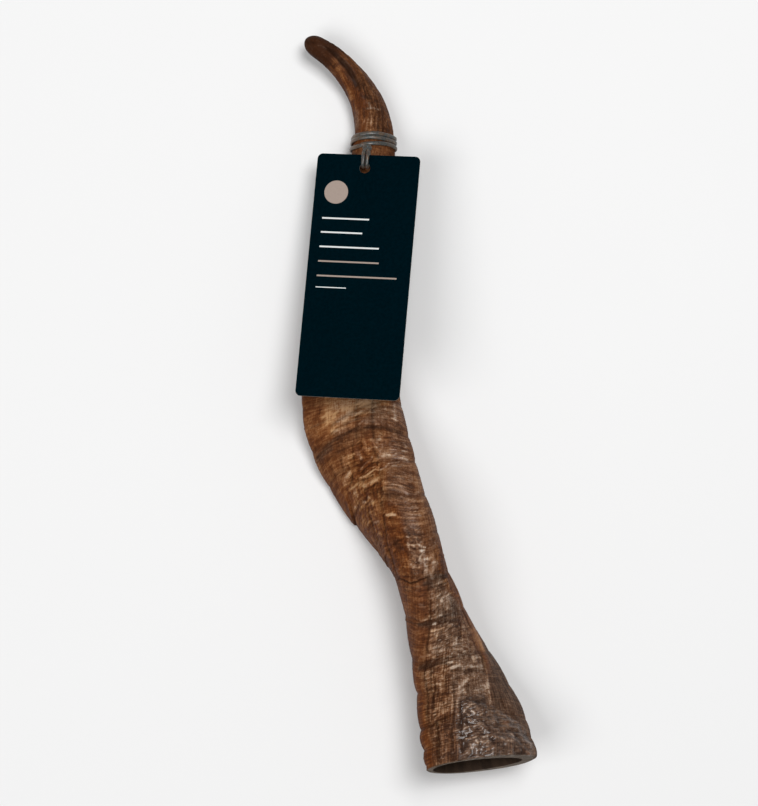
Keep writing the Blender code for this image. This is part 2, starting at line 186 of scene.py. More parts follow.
# Areas of the skin. Each follows rows of (distance from the base, from this side, to that side), and blends
# to these shares: fine rings, flakes, woven ridges, beads, orange, grey, light, gloss.
# The grey share is partly the horn's own weathered grey and partly painted sheen.
PLAIN_SKIN = (0.5, 0.5, 0.35, 0.0, 0.4, 0.15, 0.0, 0.3)
AREAS = (
    # the smooth tip, its orange left, its darker right and its dark end
    (((288, -180, 180), (360, -180, 180)), (0.1, 0.45, 0.8, 0, 0.3, 0.05, -0.3, 0.45)),
    (((284, -50, 64), (310, -50, 56), (326, -60, 20)), (0, 0.3, 0.8, 0, 0.75, 0, -0.45, 0.45)),
    (((292, 84, 150), (306, 66, 130), (318, 36, 84)), (0.1, 0.7, 1.1, 0, 0.15, 0.15, -0.4, 0.4)),
    (((332, -180, 180), (360, -180, 180)), (0.1, 0.7, 1.2, 0, 0.15, 0.1, -2.1, 0.4)),
    # the covered stretch
    (((190, -180, 180), (284, -180, 180)), (0.45, 0.4, 0.3, 0, 0.45, 0.1, 0.05, 0.35)),
    # the keel's side above the hump, and below it
    (((150, -190, -112), (165, -190, -116), (192, -190, -112)), (0.7, 0.4, 0.2, 0, 0.8, 0.05, 0.05, 0.35)),
    (((104, -190, -88), (126, -190, -96), (150, -190, -112)), (0.35, 0.6, 0.25, 0, 1, 0, -0.1, 0.3)),
    # pale tan patch, painted lighter still against the tag's shadow on it
    (((166, -124, -40), (190, -126, -40)), (0.3, 0.4, 0.4, 0, 1, 0, 1.2, 0.2)),
    # fine rings along the right face, greyed with painted sheen
    (((96, -44, -8), (118, -48, 4), (130, -47, 0)), (1.2, 0.35, 0.1, 0, 0.4, 0.45, -0.15, 0.6)),
    (((130, -47, 0), (138, -46, -4), (152, -44, -8)), (1.2, 0.45, 0.1, 0, 0.4, 0.45, 0.25, 0.6)),
    (((152, -44, -8), (169, -40, -4)), (1.2, 0.35, 0.1, 0, 0.4, 0.45, -0.1, 0.6)),
    # chips in the middle
    (((104, -104, -46), (116, -104, -48), (136, -108, -50), (156, -108, -52)),
     (0.5, 1, 0.25, 0, 1, 0, 0.2, 0.3)),
    # smooth strip along the blunt edge
    (((84, 0, 40), (106, 4, 46), (124, 4, 48), (138, -4, 46), (150, -12, 44), (190, -6, 40)),
     (0.6, 0.2, 0.3, 0, 0.35, 0.3, 0.1, 0.4)),
    # orange stretch over the crack, with a grey column of painted sheen and glints at its right
    (((88, -120, -20), (118, -104, -34)), (0.6, 0.7, 0.5, 0, 1, 0, -0.1, 0.35)),
    (((90, -24, 10), (107, -26, -4)), (0.7, 1, 0.3, 0, 0.4, 0.5, -0.3, 0.45)),
    (((86, 10, 42), (100, 12, 40)), (0.4, 0.7, 0.3, 0, 0.4, 0.45, 0.25, 0.35)),
    # under the crack, left of the long crease
    (((54, -60, 4), (87, -70, 4)), (0.6, 0.3, 0.5, 0, 0.75, 0.15, -0.3, 0.35)),
    (((54, -90, -14), (64, -90, -36), (87, -90, -46)), (0.5, 0.1, 0.2, 0, 1, 0, -0.2, 0.35)),
    # woven face right of the crease, greyer in its middle with painted sheen
    (((50, 14, 100), (60, 10, 92), (72, 10, 80), (86, 8, 64)), (0.6, 1, 0.8, 0, 0.4, 0.5, 0.22, 0.35)),
    (((46, 22, 76), (66, 20, 60), (86, 14, 38)), (0.6, 0.9, 0.7, 0, 0.15, 0.75, 0.42, 0.35)),
    # smooth orange strip at its right
    (((42, 102, 126), (51, 102, 130), (60, 98, 132), (69, 84, 122), (78, 60, 112), (98, 44, 104)),
     (0.2, 0.1, 0.4, 0, 0.85, 0, 0.3, 0.4)),
    # orange left edge of the base
    (((-12, -90, 27), (10, -90, 23), (24, -90, 16), (38, -90, 5), (54, -90, -14), (64, -90, -38)),
     (0.8, 0.25, 0.4, 0, 0.95, 0, -0.3, 0.35)),
    # woven base, and the pale grey column of painted sheen through it
    (((-12, 28, 64), (10, 25, 62), (24, 18, 60), (38, 10, 58), (52, 0, 52)),
     (0.7, 0.75, 1.1, 0, 0.4, 0.3, 0.3, 0.35)),
    (((12, 60, 92), (34, 52, 108), (52, 46, 104)), (0.6, 0.8, 0.8, 0, 0.1, 0.8, 0.55, 0.35)),
    (((-12, 38, 80), (10, 36, 76), (16, 36, 70)), (0.7, 0.75, 1, 0, 0.3, 0.5, -0.8, 0.35)),
    # smooth fibrous flank along the keel
    (((-12, 118, 200), (10, 106, 200), (24, 102, 200), (38, 106, 200), (62, 128, 200)),
     (0.2, 0.08, 0.9, 0, 0, 1, -0.5, 0.2)),
    # dark knobbly beads
    (((-12, 64, 160), (10, 60, 148), (17, 61, 124), (24, 62, 100), (30, 64, 96)),
     (0.4, 0.4, 0.5, 1, 0, 1, -0.25, 1)),
)
AREA_SOFT_ROW = 7.0
AREA_SOFT_SIDE = 15.0

# Dark bands across the skin: half width in mm, strength, then places as (side, distance from the base)
BANDS = (
    (0.8, 0.7, ((-118, 171), (-68, 170.5), (-20, 168))),
    (0.7, 0.5, ((-124, 168), (-90, 167.8), (-60, 167.5))),
    (1.1, 0.5, ((-156, 170), (-118, 165), (-100, 163), (-84, 161), (-66, 158), (-48, 155), (-16, 152.5))),
    (1.3, 0.32, ((-156, 167.4), (-118, 162.6), (-100, 160.6), (-84, 158.6), (-66, 155.8), (-52, 153.4))),
    (0.8, 0.5, ((-150, 163), (-118, 159.5), (-100, 157.5), (-88, 156))),
    (1.7, 0.55, ((-62, 120.5), (-40, 121), (-20, 119))),
    (2.2, 0.75, ((-4, 72), (24, 71), (76, 69))),
    (1.7, 0.75, ((8, 86), (34, 84.5), (60, 84))),
    (1.3, 0.65, ((-12, 52.5), (16, 51.5), (40, 49.5), (84, 49), (134, 57))),
    (1.2, 0.5, ((64, 43), (96, 42))),
    (1.5, 0.5, ((10, 37), (60, 35), (96, 32))),
    (1.5, 0.45, ((14, 19.5), (60, 18), (100, 15))),
)
BAND_ENDS = 8.0  # degrees over which a band fades at its ends
BAND_DEPTH = 0.18  # mm

# Long creases: depth in mm, half width in mm, darkness of the painted shade in them, then places as
# (distance from the base, side).
# Below 0 they are ridges, and pale.
CREASES = (
    (0.25, 1, 0.5, ((88, -58), (91, -60), (104, -68), (114, -58), (130, -56), (148, -66), (176, -68))),
    (0.45, 0.8, 1, ((56, 10), (61, 6), (72, 7), (80.5, 5), (88, 6))),
    (-0.18, 0.8, -0.4, ((89, 6), (97, 6))),
    (0.35, 0.8, 0.8, ((20, 16), (34.5, 15), (47, 8), (54, 8))),
    (0.4, 0.8, 0.9, ((0, 34), (4, 34), (14.5, 36), (30, 26), (44.5, 20), (52, 14))),
    (0.3, 0.8, 0.6, ((3, 54), (9.5, 54), (24, 58), (37, 54), (48, 50))),
    (0.3, 0.8, 0.6, ((0, 66), (23, 66), (34, 68))),
    (-0.3, 0.8, -0.7, ((5, 94), (24, 98), (37.5, 104), (46, 106))),
    (0.3, 0.9, 0.6, ((44, 100), (58, 112), (70, 88), (90, 66))),
    (0.3, 1, 0.45, ((40, -100), (80, -96), (130, -84), (190, -88))),
    (0.35, 1.2, 0.5, ((60, 150), (120, 128), (190, 120), (270, 112))),
    (0.25, 1, 0.4, ((100, 70), (150, 66), (220, 60), (280, 64))),
    (0.7, 1.2, 1, ((313, 41), (318, 38), (326, 36), (336, 30))),
)
CREASE_ENDS = 5.0  # mm over which a crease fades at its ends

# Ledges, where an upper layer ends over the one below: height and run-out in mm, darkness of the painted
# shadow at the foot, then places as
# (side, distance from the base)
LEDGES = (
    (0.75, 7, 1,
     ((-58, 90.8), (-52, 90.4), (-42, 89), (-28, 87.6), (-16, 87.7), (-8, 88.3), (4, 88.4), (10, 87.2))),
    (0.9, 6, 0.7, ((-160, 138.6), (-146, 137.2), (-132, 137), (-122, 138.4))),
    (0.3, 4, 0.5, ((-120, 104), (-60, 103), (-20, 103.6))),
    (0.35, 5, 0.5, ((-60, 72.4), (-20, 71.6), (0, 72))),
)

# Pale raised chips: (distance from the base, side, length along, width across, paleness)
CHIPS = (
    (138.2, -70, 1.1, 5.2, 1),
    (138.8, -60, 2.6, 1.3, 0.8),
    (131.2, -68, 1.5, 3.6, 1),
    (113.5, -46, 1.3, 4, 1.2),
    (146.5, -104, 2.2, 3, 0.7),
    (127.5, -80, 2, 2.2, 0.6),
    (123, -72, 1.4, 2, 0.7),
    (121, -92, 1.3, 1.7, 0.6),
    (149, -84, 2.8, 1.4, 0.6),
    (152.5, -78, 1.6, 1.8, 0.5),
    (142, -92, 1.6, 2.4, 0.5),
    (134.5, -84, 2.4, 1.6, 0.6),
    (119.5, -24, 1.2, 2.6, 0.6),
    (136, -30, 1, 3.4, 0.6),
    (141, -32, 0.9, 3, 0.6),
    (168.8, -84, 1.4, 3, 0.5),
    (163.8, -92, 1.2, 2.6, 0.6),
    (97.5, -4, 1.1, 1.5, 1.1),
    (99.5, -1, 1, 1.2, 0.8),
    (95.5, -6, 1, 1.2, 0.7),
    (20.5, 79, 0.9, 1.4, 0.9),
    (20, 87, 0.9, 1.4, 0.9),
    (4.2, 83, 1.2, 1.3, 0.9),
    (4, 90, 1.2, 1.5, 0.9),
    (44.5, 55, 1, 3, 0.6),
    (50.5, 72, 0.8, 3.2, 0.6),
)
CHIP_HEIGHT = 0.28

# More chips at random: how many, between these distances and sides, and how pale
SCATTERED = (
    (34, (106, 158), (-118, -44), (0.2, 0.6)),
    (16, (160, 178), (-130, -40), (0.2, 0.6)),
    (16, (90, 104), (-60, 30), (0.3, 0.8)),
    (30, (34, 84), (10, 96), (0.25, 0.6)),
    (14, (4, 34), (24, 64), (0.2, 0.5)),
    (60, (20, 280), (-180, 180), (0.15, 0.4)),
)
SCATTERED_LENGTH = (0.6, 1.3)
SCATTERED_WIDTH = (0.8, 3.2)
SCATTERED_SEED = 33

# Single marks of the skin that the photo shows: how much lighter, how dark, how grey (warmer below 0), how
# high in mm, half width in pixels, and the places that the mark runs through, in pixels of the photo
# Some of the marks below are painted highlights, glints and shadows, as their headings say.
STROKES = (
    # dark arcs under the tag
    (-0.2, 0.38, 0.3, -0.15, 2, ((318, 456), (326, 447), (334, 440), (341, 436), (350, 431))),
    (-0.2, 0.3, 0.3, -0.15, 1.8, ((350, 431), (360, 427), (372, 426.5))),
    (-0.3, 0.5, 0.4, -0.1, 1.7, ((366, 427), (384, 427.5), (394, 430), (402, 433))),
    (-0.1, 0.35, 0.3, 0, 1.4, ((350, 416), (357, 413), (362, 411), (370, 408.5), (380, 407), (392, 408))),
    (0.3, 0, 0.7, 0, 3, ((366, 421), (386, 418))),
    (0, 0.4, 0.3, 0, 1, ((345, 425), (352, 421), (360, 418), (372, 417))),
    (0, 0.3, 0.3, 0, 0.9, ((372, 411), (380, 413), (390, 414))),
    (-0.3, 0.35, 0.5, 0, 3.6, ((319, 459), (324, 453), (330, 448))),
    (0, 0.4, 0.2, 0, 0.9, ((312, 427), (322, 423), (331, 418))),
    # pale and orange patches between them
    (0.15, 0, 0.3, 0, 4, ((339, 421), (349, 414))),
    # the pale patch under the tag's edge, painted lighter still against the tag's shadow
    (0.5, 0, 0.2, 0, 6, ((338, 406), (354, 404), (374, 404))),
    (0.5, 0, 0.1, 0, 2.5, ((342, 409), (354, 406), (370, 405))),
    (0.45, 0, 0.5, 0, 6, ((376, 414), (394, 412))),
    (0.45, 0, 0.35, 0, 6, ((378, 440), (386, 458))),
    (0.5, 0, 0, 0, 2.2, ((324, 424), (336, 414))),
    (0.3, 0, 0.35, 0, 3, ((337, 433), (347, 430))),
    (0.8, 0, 0, 0, 2.6, ((320, 433), (327, 424))),
    (0.7, 0, 0, 0, 2.4, ((323, 417), (330, 413))),
    # a painted highlight streak at the right, then small pale grey marks
    (0.9, 0, 0.9, 0, 1.8, ((394, 405), (395, 420))),
    (0.9, 0, 0.8, 0.1, 0.9, ((391, 418), (397, 421))),
    (0.7, 0, 0.6, 0.1, 0.9, ((374, 420), (378, 424))),
    (0.9, 0, 0.5, 0.1, 0.8, ((381, 416), (387, 416.5))),
    (0.8, 0, 0.6, 0.1, 0.8, ((376, 424), (385, 423), (391, 426))),
    (0.8, 0, 0.6, 0.1, 1, ((359, 424), (362, 422))),
    # bright fibrous patch
    (0.5, 0, 0.1, 0, 4.5, ((344, 460), (350, 448))),
    (0.8, 0, 0.3, 0.1, 2.4, ((357, 451), (361, 458))),
    (0.9, 0, 0.3, 0.1, 1.4, ((363, 449), (369, 448))),
    (0.6, 0, 0.1, 0, 1.5, ((364, 440), (366, 448))),
    (0.6, 0, 0.3, 0, 1.1, ((372, 440), (376, 448))),
    (0.5, 0, 0.5, 0, 2.4, ((380, 457), (388, 455))),
    (0, 0.4, 0, -0.1, 0.8, ((353, 445), (353.5, 458))),
    (0, 0.4, 0, -0.1, 0.8, ((340, 455), (343, 468))),
    (0, 0.35, 0, -0.1, 0.8, ((331, 466), (336, 480))),
    (0, 0.4, 0, -0.1, 0.8, ((363, 452), (366, 458), (371, 462))),
    # chips with pale edges, and painted shadow lines along and under them
    (1.1, 0, 0.4, 0.2, 0.9, ((361, 469), (364, 465.5), (367, 462), (371, 459.5), (372, 457))),
    (0, 0.6, 0, -0.1, 1, ((363, 471), (366, 468), (370, 465), (375, 462.5), (379, 464))),
    (1.4, 0, 0.1, 0.3, 1.2, ((361, 478), (365, 476.5), (370, 473), (375, 469.5), (379, 470))),
    (1, 0, 0.1, 0.2, 0.8, ((366, 472.5), (371, 468.5), (376, 466.5), (379, 468.5))),
    (0, 0.5, 0, -0.1, 0.6, ((366, 474.7), (371, 470.9), (375.5, 468.2))),
    (0, 0.6, 0, -0.2, 1, ((361, 480.6), (367, 479), (373, 475))),
    (1.1, 0, 0.6, 0.2, 1, ((381, 469.5), (385, 467.5), (387, 465), (389, 464))),
    (1.6, 0, 0.1, 0.3, 1.8, ((366, 486.5), (370, 484), (374, 481), (377, 480.5))),
    (0, 0.6, 0, -0.2, 1, ((366, 489.5), (372, 487), (378, 483.5))),
    (1, 0, 0.2, 0.25, 2.2, ((345, 483), (347, 477), (350, 472))),
    (0, 0.6, 0, -0.2, 0.8, ((353.5, 472), (352, 480), (350, 487))),
    (0, 0.5, 0, -0.1, 0.8, ((341, 478), (344, 473), (350, 469.5))),
    (0.8, 0, 0.2, 0.1, 1.7, ((355, 489), (357, 496))),
    (0.9, 0, 0.2, 0.1, 1.4, ((369, 497), (373, 500))),
    (1.1, 0, 0.5, 0.1, 1.1, ((363, 502), (366, 502))),
    (1.2, 0, 0.5, 0.1, 1.1, ((355.5, 507), (356.5, 507))),
    (1.9, 0, 0.2, 0.3, 1.5, ((388, 515), (395.5, 515))),
    (0.9, 0, 0.3, 0.1, 1.2, ((392.5, 515), (395.5, 515))),
    (0.9, 0, 0.5, 0.1, 1.4, ((376, 522), (379, 521.5))),
    (0.8, 0, 0, 0, 1.8, ((391, 535), (396, 533), (399, 536))),
    (0, 0.5, 0.2, 0, 2, ((384, 494), (398, 496))),
    (0, 0.35, 0, 0, 2.2, ((370, 492), (382, 490))),
    (0, 0.45, 0.2, 0, 3.2, ((395, 542), (402, 548))),
    (0, 0.45, 0, -0.1, 0.8, ((347, 488), (350, 498))),
    (0, 0.45, 0, -0.1, 0.8, ((361, 513), (360, 524))),
    (0, 0.4, 0, -0.1, 0.8, ((384, 520), (387, 530))),
    (0, 0.4, 0, -0.1, 0.8, ((370, 526), (378, 545))),
    (0.5, 0, 0, 0.1, 0.8, ((383, 547), (386, 538))),
    # painted highlights on the rings at the right
    (0.39, 0, 0.8, 0.1, 0.8, ((391, 452), (400, 453.5))),
    (0.35, 0, 0.8, 0.1, 0.8, ((391, 461.5), (398, 462.5))),
    (0.39, 0, 0.8, 0.1, 0.8, ((392, 465.5), (400, 467))),
    (0.74, 0, 0.9, 0.15, 1.2, ((401, 457), (405, 459), (408, 461.5))),
    (0.47, 0, 0.9, 0.1, 0.9, ((402, 446), (406, 447.5))),
    (0.47, 0, 0.9, 0.1, 0.8, ((401, 451), (406, 452.5))),
    (0.35, 0, 0.8, 0.1, 0.8, ((393, 476.5), (403, 479))),
    (0.35, 0, 0.8, 0.1, 0.8, ((392, 484), (401, 487))),
    (0.39, 0, 0.7, 0.1, 0.8, ((392, 489), (400, 491.5))),
    (0.59, 0, 0.7, 0.1, 1.2, ((416, 493.5), (418, 492.5))),
    (0.55, 0, 0.9, 0.1, 1, ((416, 505), (417, 508.5))),
    (0.47, 0, 0.5, 0.1, 1.1, ((394, 503), (397, 504))),
    (0.39, 0, 0.9, 0.1, 0.9, ((411, 507), (418, 508))),
    (0.35, 0, 0.9, 0.1, 0.8, ((413, 515), (421, 516))),
    # warm right edge
    (-0.6, 0, -2.4, 0, 4.5, ((441, 552), (445, 566), (450, 580), (456, 592))),
    # painted glints above the crack, with dark spots among them
    (1.6, 0, 0.7, 0.1, 1.2, ((407, 536.7), (409.5, 538))),
    (1.4, 0, 0.8, 0.1, 1, ((415, 537), (420, 537.5))),
    (1.5, 0, 0.8, 0.1, 1, ((415.5, 540), (419, 545))),
    (1.8, 0, 1, 0.1, 1, ((420, 546), (425, 547.5))),
    (1.7, 0, 1, 0.1, 1.2, ((419.5, 550.5), (424, 550.5))),
    (1.7, 0, 1, 0.1, 1.2, ((422.5, 551), (422.5, 555))),
    (1.3, 0, 0.7, 0.1, 1.1, ((408, 542), (408.5, 547.5))),
    (1.2, 0, 0.7, 0.1, 1.1, ((410, 549.5), (414, 551.5))),
    (1.1, 0, 0.6, 0.1, 1, ((412, 545), (414, 546.5))),
    (0.9, 0, 0.7, 0.1, 1.1, ((413, 554), (419, 557), (421, 561))),
    (0.8, 0, 0.6, 0.1, 1.2, ((411, 564), (415, 566))),
    (0, 0.9, 0.5, -0.2, 0.8, ((418.5, 548.7), (422, 549))),
    (0, 0.8, 0.5, -0.2, 0.9, ((412, 543), (414, 541))),
    (0, 0.7, 0.5, -0.2, 0.8, ((411, 547.5), (415, 549))),
    (0.8, 0, 1, 0.1, 1, ((424, 555), (425, 566), (424.5, 577))),
    (0.6, 0, 0.9, 0.1, 0.9, ((427, 558), (427, 576))),
    (0, 0.4, 0.4, -0.1, 0.7, ((421.8, 557), (422.3, 575))),
    (1.4, 0, 0.8, 0.1, 1.2, ((433, 562.5), (435, 562))),
    (0.8, 0, 0.7, 0.1, 2.2, ((431, 573), (434, 568), (437, 563))),
    # dark places round the crack, and painted shadow along the crack under its ledge
    (-0.2, 0.35, 0.9, 0, 3, ((430, 577), (446, 576))),
    (0, 0.65, 0.9, -0.1, 2, ((425, 584), (431, 583))),
    (0, 0.8, 0.6, -0.2, 0.9, ((430, 587), (437, 586.5), (446, 583))),
    (0, 0.35, 0.3, -0.1, 0.8, ((404, 586), (412, 588.3), (422, 585.5))),
    (0, 0.3, 0.3, -0.1, 0.8, ((405, 589.5), (412, 591.5), (421, 589))),
    (-0.1, 0.35, 0.9, 0, 3.2, ((450, 598), (453, 606))),
    # woven face under the crack
    (0.8, 0, 0.3, 0.1, 0.8, ((428.5, 592), (429, 618))),
    (0, 0.6, 0.2, -0.2, 0.8, ((430.8, 600), (430.5, 622))),
    (2, 0, 0.6, 0.1, 1.2, ((441.3, 600.5), (442.7, 601.2))),
    (0.4, 0, 0.6, 0.1, 1.7, ((433, 597), (441, 592))),
    (0.4, 0, 0.6, 0.1, 1.6, ((433, 605), (441, 607))),
    (0.8, 0, 0.6, 0, 1.8, ((421, 605), (424, 607))),
    (1, 0, 0.5, 0.1, 1, ((446, 609.5), (449, 607.5))),
    (-0.1, 0.75, 0.8, -0.15, 2.4, ((420, 625), (430, 624), (441, 622), (453, 621))),
    (0, 0.5, 1, 0, 2.2, ((442, 617), (456, 614))),
    (2.2, 0, 1, 0.1, 1.1, ((433, 624.5), (436, 623.5))),
    (1.1, 0, 0.5, 0.1, 1, ((421, 621.5), (427, 619.5))),
    (1.1, 0, 0.6, 0.1, 0.9, ((431, 619), (436, 617.5))),
    (1, 0, 0.8, 0.1, 0.9, ((438, 616), (442, 615))),
    (1.3, 0, 0.3, 0.15, 1, ((431, 631), (437, 629.8), (443, 628))),
    (1.1, 0, 0.8, 0.1, 1.4, ((445, 632), (446.5, 637))),
    (0.8, 0, 0.4, 0.1, 1.5, ((437, 634), (436, 639))),
    (0.9, 0, 0.7, 0.1, 1.2, ((440, 651), (452, 649.5), (462, 649))),
    (0.9, 0, 0.7, 0.1, 1.3, ((449, 645), (456, 643))),
    (1, 0, 0.7, 0.1, 1, ((452, 653), (459, 654))),
    (0.9, 0, 0.4, 0.1, 1, ((421, 656.5), (431, 655.5))),
    (0.8, 0, 0.3, 0.1, 1, ((426, 659), (435, 657))),
    (-0.1, 0.7, 0.5, -0.1, 2.4, ((420, 668), (428, 667), (436, 664), (448, 661.5))),
    (0, 0.4, 0.5, 0, 1.1, ((436, 660), (448, 657.5))),
    # pale chips and the box-shaped one
    (1, 0, 0.7, 0.15, 0.9, ((448, 662.5), (458, 662.5))),
    (1.4, 0, 0.7, 0.2, 1.2, ((451, 668.3), (456, 666.5), (459, 664.8))),
    (1.1, 0, 1, 0.15, 1.2, ((463, 668.5), (468, 667), (470, 666))),
    (0.9, 0, 1, 0.15, 1.2, ((471, 667), (480, 665.5))),
    (0, 0.6, 0.5, -0.1, 0.8, ((449, 665.2), (456, 664.3))),
    (0, 0.5, 0.5, -0.1, 0.9, ((452, 671), (461, 669.5))),
    (0, 0.55, 0.8, -0.1, 1.6, ((465, 671), (482, 672))),
    (1, 0, 0.5, 0.1, 1.2, ((472, 656), (473, 662))),
    (0.8, 0, 0.3, 0.15, 0.9, ((432.5, 675), (432.8, 692))),
    (0.7, 0, 0.3, 0.15, 1, ((433, 675), (440, 673.5))),
    (0, 0.7, 0.1, -0.15, 0.8, ((435, 678), (435.3, 691))),
    (0.6, 0, 0.4, 0.1, 2, ((438, 682), (441, 690))),
    (0, 0.5, 0.2, -0.1, 1.2, ((436, 694.5), (446, 693.5))),
    (0.8, 0, 0.8, 0.1, 1.7, ((460, 687), (464, 683), (467, 679))),
    (1, 0, 0.7, 0.1, 1.2, ((464, 690), (465.5, 694))),
    (1.2, 0, 0.7, 0.15, 1, ((486.5, 680), (485.5, 688))),
    (1.2, 0, 0.6, 0.15, 0.9, ((487, 691), (488.5, 697), (489, 704))),
    # orange strip at the right and the dark line beside it
    (0.9, 0, 0, 0.1, 2.4, ((473, 630), (478, 640), (483, 650))),
    (0, 0.7, 0.2, -0.2, 0.9, ((463, 611), (466, 620), (469, 628))),
    (0, 0.4, 0.2, -0.1, 1, ((470, 637), (476, 648), (480, 656))),
    (0, 0.5, 0.3, -0.1, 1.5, ((480, 657), (484, 668))),
    # woven base
    (0.7, 0, 0.3, 0.15, 1.2, ((432, 722), (437, 717), (443, 713), (452, 708))),
    (0, 0.6, 0.1, -0.1, 1.2, ((432, 726), (438, 721), (446, 717), (455, 714))),
    (0.6, 0, 0.3, 0.1, 0.9, ((445, 694), (446, 703))),
    (0.7, 0, 0.4, 0.1, 0.9, ((452, 696), (452.5, 712))),
    (0.5, 0, 0.4, 0.1, 0.9, ((456.5, 700), (457, 718))),
    (0.7, 0, 0.3, 0.1, 0.9, ((443, 728), (443.5, 748))),
    (0.7, 0, 0.3, 0.1, 0.9, ((449, 731), (449, 752))),
    (0.7, 0, 0.4, 0.1, 0.9, ((454.5, 728), (455, 748))),
    (0, 0.6, 0.1, -0.2, 0.8, ((427.5, 688), (428.5, 712), (429.5, 728))),
    (0, 0.8, 0.1, -0.2, 1, ((438.2, 727), (437.6, 757))),
    (0, 0.8, 0.4, -0.2, 1.1, ((461.5, 702), (461.5, 725), (462, 753))),
    # painted glints on the beads, and painted shade between them
    (1.9, 0, 1, 0.2, 1.1, ((464, 712), (467, 708), (471, 705), (475, 704))),
    (2.4, 0, 1, 0.2, 1.4, ((472, 711), (474, 713))),
    (1.5, 0, 1, 0.2, 1.1, ((475, 707), (478, 709.5))),
    (2, 0, 1, 0.2, 1.1, ((467.5, 714.5), (469, 715))),
    (2.2, 0, 1, 0.2, 1.1, ((480, 715), (482.5, 713.5))),
    (1, 0, 0.9, 0.1, 1, ((465, 718), (471, 721))),
    (1.7, 0, 0.9, 0.2, 1, ((474, 726.5), (479, 725))),
    (1.3, 0, 1, 0.15, 0.8, ((463, 730), (469, 727))),
    (1.4, 0, 0.8, 0.2, 0.9, ((466, 739), (473, 738.5), (478, 736))),
    (2, 0, 1, 0.2, 1.1, ((476, 741), (478, 744))),
    (2.2, 0, 1, 0.2, 1.3, ((483, 737.5), (487.5, 736.5))),
    (1.8, 0, 1, 0.2, 1.5, ((482, 743), (487.5, 743.5))),
    (1.3, 0, 1, 0.15, 0.9, ((470, 744), (472, 749))),
    (1.4, 0, 1, 0.15, 0.9, ((491, 736.5), (497, 738))),
    (1.7, 0, 1, 0.15, 1, ((500, 739), (503, 740.5))),
    (1.8, 0, 1, 0.15, 1.2, ((511, 735), (514, 736.5))),
    (1.3, 0, 1, 0.15, 1, ((507, 741.5), (512, 742))),
    (1.2, 0, 0.6, 0.1, 1.4, ((487, 750), (492, 748))),
    (0, 1, 0.6, -0.3, 1.7, ((490.5, 739.5), (493, 743))),
    (0, 0.9, 0.6, -0.2, 1.1, ((493, 744.5), (500, 742.5))),
    (0, 0.8, 0.6, -0.2, 1.3, ((463, 744), (462.5, 753))),
    (0, 0.7, 0.6, -0.2, 1.7, ((470, 733.5), (476, 731))),
    (0, 0.7, 0.6, -0.2, 1.5, ((465, 723), (473, 724))),
    (0, 0.7, 0.6, -0.2, 1.3, ((480, 720), (488, 727), (489, 735))),
    # flank along the keel
    (0, 0.6, 0.6, -0.15, 1.2, ((500, 700), (505, 709))),
    (0, 0.5, 0.8, -0.1, 1.1, ((507, 704), (513, 718))),
    (0, 0.55, 0.8, -0.15, 1.2, ((510, 730), (517, 738), (521, 748))),
    (0, 0.45, 0.9, -0.1, 1, ((512, 712), (519, 727))),
    (0.6, 0, 0.2, 0, 1.6, ((503, 723), (506, 724))),
    (1, 0, 0.3, 0, 1.5, ((527, 751), (530, 755))),
    (0, 0.7, 0.6, -0.2, 1, ((523, 750), (524, 756))),
    # the tip: a dark groove with painted shade in it, orange beside it, streaks lower down and a few painted
    # highlights
    (-0.2, 0.55, 0.5, -0.1, 1.5, ((326, 47), (333, 52), (338, 58), (343, 64))),
    (-0.3, 0.8, 0.5, -0.25, 2.4, ((342, 61), (347, 68), (350, 73))),
    (-0.3, 0.75, 0.3, -0.2, 2.2, ((350, 73), (353, 79), (356, 85))),
    (-0.2, 0.5, 0.2, -0.1, 1.4, ((345, 72), (349, 80))),
    (0, 0.45, 0.1, -0.1, 0.9, ((364, 74), (368, 84))),
    (0, 0.5, 0.2, -0.1, 1, ((359, 84), (361, 96))),
    (0, 0.45, 0.2, -0.1, 0.9, ((363, 84), (366, 97))),
    (0, 0.4, 0.2, -0.1, 0.9, ((369, 92), (375, 108))),
    (0, 0.5, 0.4, -0.1, 1.6, ((363, 97), (371, 98))),
    (0.9, 0, 0, 0.1, 2.2, ((338, 68), (344, 79), (350, 92), (352, 99))),
    (0.6, 0, 0, 0, 2, ((354, 103), (358, 112))),
    (0.7, 0, 1, 0, 1.2, ((369, 103), (370.5, 107))),
    (0.5, 0, 1, 0, 0.9, ((366, 108.5), (373, 108), (379, 110))),
    (0.4, 0, 0.5, 0, 2.4, ((356.5, 112), (357.5, 126))),
    (0, 0.55, 0.3, -0.1, 1.1, ((363.5, 109), (364, 119))),
    (1, 0, 0.3, 0.1, 1.1, ((366, 129), (368, 119))),
    (0.9, 0, 0.3, 0.1, 1, ((363, 124), (365, 119))),
    (0.9, 0, 0.3, 0.1, 1.1, ((371, 125), (372, 115))),
    (0.8, 0, 0.3, 0.1, 0.9, ((376, 128), (377, 117))),
    (0, 0.5, 0.1, -0.1, 0.9, ((374, 127), (375, 112))),
    (0, 0.5, 0.1, -0.1, 0.8, ((369.3, 124), (370, 114))),
    (0, 0.5, 0.1, -0.1, 0.9, ((380, 120), (379, 111))),
    (0, 0.5, 0.3, -0.1, 0.8, ((378, 131), (378, 126))),
    (0.8, 0, 0.2, 0, 0.9, ((365, 130.5), (377, 130))),
    (0.5, 0, 0, 0, 1, ((311, 39.5), (321, 38.5), (329, 42))),
    (0.5, 0, 0.2, 0, 0.9, ((318, 46), (325, 46.5), (331, 50.5))),
    (0, 0.5, 0.2, 0, 2, ((307, 42), (314, 43))),
)

